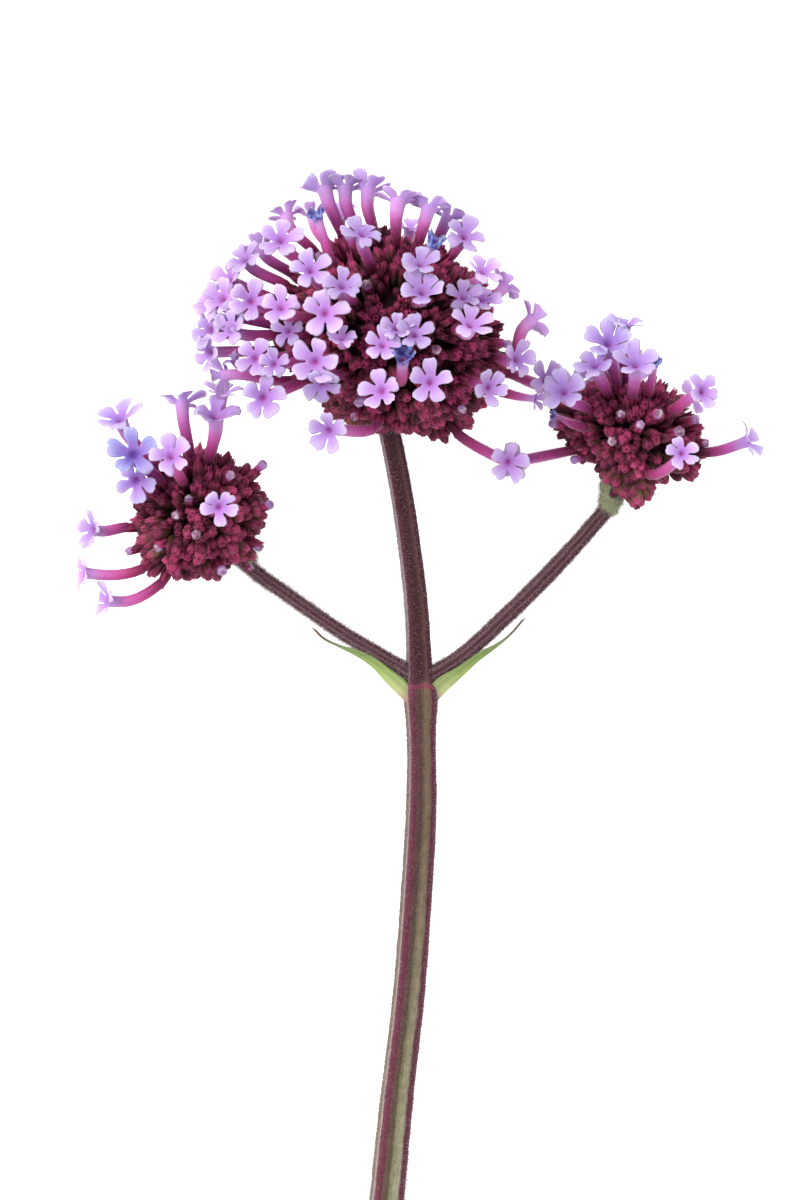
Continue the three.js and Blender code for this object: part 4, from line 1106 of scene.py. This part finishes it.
def addCalyxes(name, head, seed):
    # one calyx shape, copied and varied at every place, with the core inside and the hairs outside
    draws = np.random.default_rng(seed)
    shape, delta, blunt, quads, triangles, along, ribs = calyxShape()
    # one more under each floret and each bud, from its seat inwards
    ownOut = np.concatenate([head["placed"]["out"], head["budOut"]])
    ownSeat = np.concatenate([head["placed"]["seat"], head["budSeat"]])
    own = [ownSeat - ownOut * calyx["length"], ownOut,
           *(np.full(len(ownOut), float(value)) for value in calyx["own"])]
    origin, direction, length, width, opened, olive, knob = (
        np.concatenate(pair) for pair in zip(placeCalyxes(head, draws), own))
    direction = unit(direction)
    count = len(origin)
    size = np.stack([width, width, length], axis=1)[:, None]
    local = (shape + delta * opened[:, None, None] + blunt * knob[:, None, None]) * size
    local[..., :2] += draws.normal(0, 0.12, (count, 1, 2)) * ((shape[:, 2:] / calyx["length"])**2)[None]
    points = placeCopies(local, origin, direction, draws.uniform(*anyTurn, count)).reshape(-1, 3)
    points[:, 2] = np.maximum(points[:, 2], overFloor["calyx"])
    corePoints, coreQuads, coreTriangles = headCore(head)
    allQuads = repeatFaces(quads, count, len(shape))
    # the hollow of a blunt one is pushed out, so it takes the colour of the teeth
    hollow = (along < 0.11) * (shape[:, 2] > 2)
    values = {
        "along": (along + knob[:, None] * hollow).ravel(), "rib": np.tile(ribs, count),
        "tone": np.repeat(draws.uniform(0, 1, count), len(shape)), "olive": np.repeat(olive, len(shape)),
    }
    for key, value in calyx["core"].items():
        values[key] = np.concatenate([values[key], np.full(len(corePoints), float(value))])
    meshPiece(f"{name}_calyx_mass", np.concatenate([points, corePoints]),
              np.concatenate([allQuads, coreQuads + len(points)]),
              np.concatenate([repeatFaces(triangles, count, len(shape)), coreTriangles + len(points)]),
              calyxMaterial, [f"{name}_calyxes"], values)
    # hairs on the outer half of each calyx, leaning towards its tip
    weight = smooth(0.3, 0.75, np.tile(along, count)[allQuads].mean(axis=1))
    lean = 0.7 * np.repeat(direction, len(quads), axis=0)
    addHairs(f"{name}_calyx_hairs", points, allQuads, hair["calyx"]["each"] * count, hair["calyx"],
             seed + 5, weight, lean, wineHair)


for seed, (name, head) in enumerate(heads.items()):
    addCalyxes(name, head, seed=11 + 10 * seed)
print("calyxes")

# florets

floret = {
    "lobeColumns": 9, "lobeStops": [0, 0.14, 0.32, 0.54, 0.76, 0.91, 1.0],
    # inside of the throat and the ring round it: radius and height over the throat, for a size of 1
    "throatRows": [(0.0, -0.62), (0.2, -0.56), (0.36, -0.38), (0.55, -0.14), (0.8, 0.05)],
    # outside, from under the ring down to the neck
    "neckRows": [(0.95, -0.04), (0.92, -0.22), (0.87, -0.5), (0.83, -0.85), (0.8, -1.25)],
    "sinusRadius": 1.0, "tipRadius": 2.8, "halfWidth": (0.58, 1.02), "thickness": 0.12,
    "tubeStops": [0.86, 0.7, 0.52, 0.34, 0.17, 0.0], "tubeRadius": 0.66, "neckRadius": 0.8,
    "footDepth": 1.0, "footRadii": (0.34, 0.0), "straightPull": 0.38, "turnedPull": 0.24,
    "petalStep": np.radians(72),                    # from one petal to the next
    # height over the ring at a petal's foot and gained to its tip, depth and width of its crease, and ruffle
    "foot": 0.12, "gain": 0.55, "crease": (0.06, 0.22), "ruffle": 0.07,
    # its tip: how far the corners stand back, half the width of the notch, and ripple of the edge
    "corners": 0.14, "notchWidth": 0.35, "ripple": 0.018,
}


def lobeOutline(s, t, vary):
    # a petal's along and across, from an arc of the ring at s = 0 to a broad, faintly notched tip at s = 1
    ringAngle = floret["petalStep"] / 2 * t
    startAlong = floret["sinusRadius"] * np.cos(ringAngle)
    startAcross = floret["sinusRadius"] * np.sin(ringAngle)
    tip = floret["tipRadius"] * vary["length"] * (
        1 - floret["corners"] * np.abs(t)**3 - vary["notch"] * np.exp(-(t / floret["notchWidth"])**2)
        + vary["skew"] * t + floret["ripple"] * np.sin(9 * t + 90 * vary["skew"]))
    half = vary["width"] * mix(*floret["halfWidth"], smooth(0, 0.7, s)) * (1 - 0.08 * smooth(0.8, 1, s))
    across = mix(startAcross, half * t, smooth(0, 0.34, s))
    return mix(startAlong, tip, s), across + vary["skew"] * s * s * 2.5


def corollaPoints(placed, vary):
    # rows of the whole surface, from a point inside the throat out over the petals, back beneath them and
    # down the outside of the tube; each row has five petals of equal columns
    stops = np.array(floret["lobeStops"])
    spread = lambda vector: vector[:, None, None, None]
    t = np.linspace(-1, 1, floret["lobeColumns"])[None, None, None, :]
    s = stops[None, :, None, None]
    size = spread(placed["size"])
    each = {key: value[:, None, :, None] for key, value in vary.items() if value.ndim == 2}
    a, b = lobeOutline(s, t, each)
    # height: foot + gain x rise x s, cupped by t^2, twisted by t, curled down towards the tip, creased along
    # the middle and ruffled by a sine
    creaseDepth, creaseWidth = floret["crease"]
    height = (floret["foot"] + floret["gain"] * each["rise"] * s
              + each["cup"] * t**2 * s * (1.2 - 0.5 * s) + each["twist"] * t * s
              - each["curl"] * np.clip(s - 0.35, 0, 1)**2 * 2.2
              - creaseDepth * np.exp(-(t / creaseWidth)**2) * s * (1 - s) * 4
              + floret["ruffle"] * np.sin(5 * t + 60 * each["twist"]) * s**2)
    thick = floret["thickness"] * (1 - t**4) * (1 - s**6) + 0 * height
    lobeTurn = (floret["petalStep"] * np.arange(5) + np.pi / 2)[:, None] + spread(placed["turn"])
    wayOut = lobeTurn + each["swing"] * smooth(0, 0.5, s)
    x, y = a * np.cos(wayOut) - b * np.sin(wayOut), a * np.sin(wayOut) + b * np.cos(wayOut)
    ringAngle = lobeTurn + floret["petalStep"] / 2 * t

    def ringRows(rows):
        # rings of a radius and a level each
        radius, level = (np.array(values)[None, :, None, None] for values in zip(*rows))
        return [radius * np.cos(ringAngle), radius * np.sin(ringAngle), level + 0 * ringAngle]

    throat, neck = ringRows(floret["throatRows"]), ringRows(floret["neckRows"])
    back = slice(-2, None, -1)        # the underside, without the tip row that both sides share
    underneath = (height - thick)[:, back]
    limb = [np.concatenate([throat[i], over, under, neck[i]], axis=1) * size
            for i, (over, under) in enumerate(((x, x[:, back]), (y, y[:, back]), (height, underneath)))]
    side, top = sideAndTop(placed["facing"], placed["reference"])
    limb = (spread(placed["throat"]) + limb[0][..., None] * spread(side) + limb[1][..., None] * spread(top)
            + limb[2][..., None] * spread(placed["facing"]))

    # the tube: a cubic from its seat, leaving along out, to the neck, arriving along facing
    end = placed["throat"] + placed["facing"] * floret["neckRows"][-1][1] * placed["size"][:, None]
    start = placed["seat"]
    span = np.linalg.norm(end - start, axis=1, keepdims=True)
    aligned = np.clip((placed["facing"] * unit(end - start)).sum(axis=1, keepdims=True), 0, 1)
    p1 = start + unit(placed["out"] + unit(end - start)) * span * floret["straightPull"]
    p2 = end - placed["facing"] * span * mix(floret["turnedPull"], floret["straightPull"], aligned)
    q = np.array(floret["tubeStops"])[None, :, None]
    row = lambda vector: vector[:, None]
    path = ((1 - q)**3 * row(start) + 3 * q * (1 - q)**2 * row(p1) + 3 * q**2 * (1 - q) * row(p2)
            + q**3 * row(end))
    along = unit(3 * (1 - q)**2 * row(p1 - start) + 6 * q * (1 - q) * row(p2 - p1)
                 + 3 * q**2 * row(end - p2))
    foot = start - placed["out"] * floret["footDepth"]
    path = np.concatenate([path, row(foot), row(foot)], axis=1)
    along = np.concatenate([along, row(placed["out"]), row(placed["out"])], axis=1)
    q = np.concatenate([floret["tubeStops"], [0, 0]])
    radius = mix(floret["tubeRadius"], floret["neckRadius"], q**0.8) * mix(1, placed["size"][:, None], q)
    radius[:, -2:] = floret["footRadii"]
    # each ring's side is the one before it, made square to the ring's own direction
    sides = [side]
    for way in np.moveaxis(along, 1, 0):
        sides.append(unit(sides[-1] - way * (sides[-1] * way).sum(axis=1, keepdims=True)))
    tubeSide = np.stack(sides[1:], axis=1)
    tubeTop = np.cross(tubeSide, along)
    angle = ringAngle[..., None]
    tube = (path[:, :, None, None] + radius[:, :, None, None, None] * (
        np.cos(angle) * tubeSide[:, :, None, None] + np.sin(angle) * tubeTop[:, :, None, None]))
    return np.concatenate([limb, tube], axis=1)


def corollaValues():
    # zone, across and under for each point of one floret
    t = np.linspace(-1, 1, floret["lobeColumns"])
    lobeZone = 1.12 + 0.88 * np.array(floret["lobeStops"])
    rows = [[0.55, 0.68, 0.84, 0.99, 1.08], lobeZone, lobeZone[-2::-1],
            np.linspace(1.04, 0.9, len(floret["neckRows"])), 0.86 * np.array(floret["tubeStops"]),
            np.zeros(2)]
    kind = np.repeat(np.arange(len(rows)), [len(row) for row in rows])
    zone = np.concatenate(rows)[:, None, None]
    grid = np.zeros((len(kind), 5, len(t)))
    isPetal = ((kind == 1) | (kind == 2))[:, None, None]
    return zone + grid, isPetal * t + grid, (kind > 1)[:, None, None] + grid


def varyFlorets(count, seed, dried=0.0):
    # small differences between the petals of each floret
    draws = np.random.default_rng(seed)
    normal = lambda middle, spread: draws.normal(middle, spread, (count, 5))
    return {
        "length": normal(1 - 0.36 * dried, 0.05), "width": normal(1 - 0.1 * dried, 0.09),
        "rise": normal(2.1 + 1.2 * dried, 0.5), "cup": normal(-0.1 + 0.9 * dried, 0.2),
        "twist": normal(0, 0.15 * (1 + 1.5 * dried)), "curl": draws.uniform(0.1, 0.9, (count, 5)),
        "swing": normal(0, 0.085), "notch": np.abs(normal(0.04, 0.035)),
        "skew": normal(0, 0.03), "tone": draws.uniform(0, 1, count), "dried": np.full(count, dried),
    }


def floretCells():
    # the cells of one floret, welded by a plain one that stands on its own
    plain = {"throat": 8 * up[None], "out": up[None], "facing": up[None], "seat": np.zeros((1, 3)),
             "reference": ahead[None], "turn": np.zeros(1), "size": np.ones(1)}
    vary = {key: np.ones((1, 5)) for key in ("length", "width", "rise")}
    vary.update({key: np.zeros((1, 5)) for key in ("cup", "twist", "curl", "swing", "notch", "skew")})
    points = corollaPoints(plain, vary)[0]
    columns = floret["lobeColumns"]
    cells = gridFaces(len(points), 5 * columns)
    cells = cells[cells[:, 0] % columns != columns - 1]     # none from one petal to the next
    first, quads, triangles, _ = weldCells(points.reshape(-1, 3), cells)
    return first, quads, triangles


def addCorollas(name, placed, vary, blue, replaced, seed):
    # the surfaces of all the florets, which share their cells, and the down on their tubes
    count = len(placed["size"])
    first, quads, triangles = floretCells()
    points = corollaPoints(placed, vary).reshape(count, -1, 3)[:, first]
    points[..., 2] = np.maximum(points[..., 2], overFloor["petal"])   # the lowest petals lie flat
    zone, across, under = (values.ravel()[first] for values in corollaValues())
    allQuads = repeatFaces(quads, count, len(first))
    values = {"zone": np.tile(zone, count), "across": np.tile(across, count), "under": np.tile(under, count)}
    for key, value in (("tone", vary["tone"]), ("blue", blue), ("dried", vary["dried"])):
        values[key] = np.repeat(value, len(first))
    meshPiece(name, points, allQuads, repeatFaces(triangles, count, len(first)), corollaMaterial,
              replaced, values)
    tubeZone = np.tile(zone, count)[allQuads].mean(axis=1)
    weight = (np.tile(under, count)[allQuads].min(axis=1) > 0) * smooth(0.02, 0.1, tubeZone)
    weight = weight * smooth(1.0, 0.86, tubeZone)
    addHairs(f"{name}_down", points, allQuads, hair["tube"]["each"] * count, hair["tube"], seed,
             weight)


def some(placed, chosen):
    # the facts of the chosen florets
    return {key: value[chosen] for key, value in placed.items() if key != "near"}


for seed, (name, head) in enumerate(heads.items()):
    placed = head["placed"]
    count = len(placed["size"])
    vary = varyFlorets(count, seed=101 + seed)
    blue = np.random.default_rng(seed + 40).uniform(0, 0.14, count)
    for index, share in head["blue"].items():
        blue[index] = share
    nodes = sorted(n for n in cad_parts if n.startswith(f"{name}_florets_"))
    near = np.arange(count) < placed["near"]
    addCorollas(f"{name}_corollas", some(placed, near), some(vary, near), blue[near], nodes, seed + 60)
    if not near.all():
        addCorollas(f"{name}_far_corollas", some(placed, ~near), some(vary, ~near), blue[~near], [],
                    seed + 65)
    if head["dried"]:
        rows = np.array(head["dried"])
        throat = rows[:, :3] + head["centre"]
        out = outwards(head, rows[:, 3:6])
        seat = head["centre"] + out * (reachAlong(head, out)[:, None] - seatOver)
        facing = unit(throat - seat)
        # each is turned by its own x, so that no two look alike
        dried = {"throat": throat, "out": out, "facing": facing, "seat": seat,
                 "reference": referenceFor(facing), "turn": rows[:, 0], "size": rows[:, 6]}
        addCorollas(f"{name}_dried_florets", dried, varyFlorets(len(rows), 120 + seed, dried=1.0),
                    np.zeros(len(rows)), [], seed + 80)
print("florets")

# buds and pale tips among the calyxes, and the neck where each head meets its stem

bud = {
    # height, radius and zone of colour, from inside the calyx to the closed tip
    "rows": [(-1.2, 0.0, 0.2), (-1.2, 0.6, 0.2), (0.2, 0.64, 0.35), (0.9, 0.66, 0.55), (1.3, 0.76, 0.9),
             (1.7, 0.8, 1.15), (2.1, 0.66, 1.25), (2.35, 0.36, 1.3), (2.25, 0.0, 1.3)],
    "columns": 15, "paleDepth": 1.1,
}
neck = {
    # distance from the middle of the head beyond the mass, and radius as a share of the stem's
    "rows": [(0.7, 0.96), (0.1, 1.08), (-0.7, 1.22), (-1.6, 1.36), (-2.8, 1.45), (-4.0, 1.2)],
    "columns": 32, "green": (0.7, 0.86),    # places in the bract's ramp at its foot and inside the mass
    "folds": (0.09, 0.05),                  # depth of its five folds and of its three
}


def addBuds(name, head, seed):
    # a profile turned round the bud's own axis, with five folds: radius (1 + 0.1 cos 5 angle)
    draws = np.random.default_rng(seed)
    size, cream = np.array(head["buds"])[:, 3:].T
    sunk = bud["paleDepth"] * smooth(0.55, 0.65, cream)[:, None]
    origin = head["budSeat"] - head["budOut"] * sunk
    direction = unit(head["budOut"] + draws.normal(0, 0.08, origin.shape))
    height, radius, zone = np.array(bud["rows"]).T
    angle = turnsRound(bud["columns"])
    folded = radius[:, None] * (1 + 0.1 * np.cos(5 * angle) * smooth(0.6, 1.4, height)[:, None])
    shape = np.stack([folded * np.cos(angle), folded * np.sin(angle), height[:, None] + 0 * folded], axis=-1)
    zone = zone[:, None] + 0 * folded
    first, quads, triangles = weldRound(shape)
    shape, zone = shape.reshape(-1, 3)[first], zone.ravel()[first]
    count = len(origin)
    points = placeCopies(shape[None] * size[:, None, None], origin, direction, draws.uniform(*anyTurn, count))
    values = {"zone": np.tile(zone, count), "under": np.ones(count * len(shape))}
    for key, value in (("tone", draws.uniform(-0.6, 0.6, count)), ("blue", draws.uniform(0, 0.2, count)),
                       ("cream", cream)):
        values[key] = np.repeat(value, len(shape))
    allQuads = repeatFaces(quads, count, len(shape))
    meshPiece(f"{name}_buds", points, allQuads, repeatFaces(triangles, count, len(shape)), corollaMaterial,
              values=values)
    addHairs(f"{name}_bud_hairs", points, allQuads, budHairs * count, hair["tube"], seed + 1)


def addNeck(name, head, seed):
    # rings from the stem out to under the calyxes
    away = unit(np.array([[*head["entry"], 0.0]]))
    distance, radius = np.array(neck["rows"]).T
    distance = reachAlong(head, away)[0] + head["neckFrom"] + distance
    angle = turnsRound(neck["columns"])
    side, top = sideAndTop(away, up)
    five, three = neck["folds"]
    radius = radius[:, None] * head["stemRadius"] * (
        1 + five * np.sin(5 * angle + 3 * distance[:, None]) + three * np.sin(3 * angle))
    grid = (head["centre"] + away * distance[:, None, None]
            + radius[..., None] * (np.cos(angle)[:, None] * side + np.sin(angle)[:, None] * top))
    grid = closeEnds(grid)
    cells = gridFaces(*grid.shape[:2], around=True)
    points = grid.reshape(-1, 3)
    first, quads, triangles, _ = weldCells(points, cells)
    along = np.linspace(*neck["green"], len(grid))[:, None] + 0 * grid[..., 0]
    meshPiece(f"{name}_neck", points[first], quads, triangles, bractMaterial,
              values={"along": along.ravel()[first], "across": 0 * along.ravel()[first]})
    addHairs(f"{name}_neck_hairs", points, cells, hair["neck"]["count"], hair["neck"], seed + 1,
             lean=0.3 * np.repeat(away, len(cells), axis=0), material=greyHair)


for seed, (name, head) in enumerate(heads.items()):
    addBuds(name, head, 140 + 10 * seed)
    addNeck(name, head, 145 + 10 * seed)
print("buds and necks")
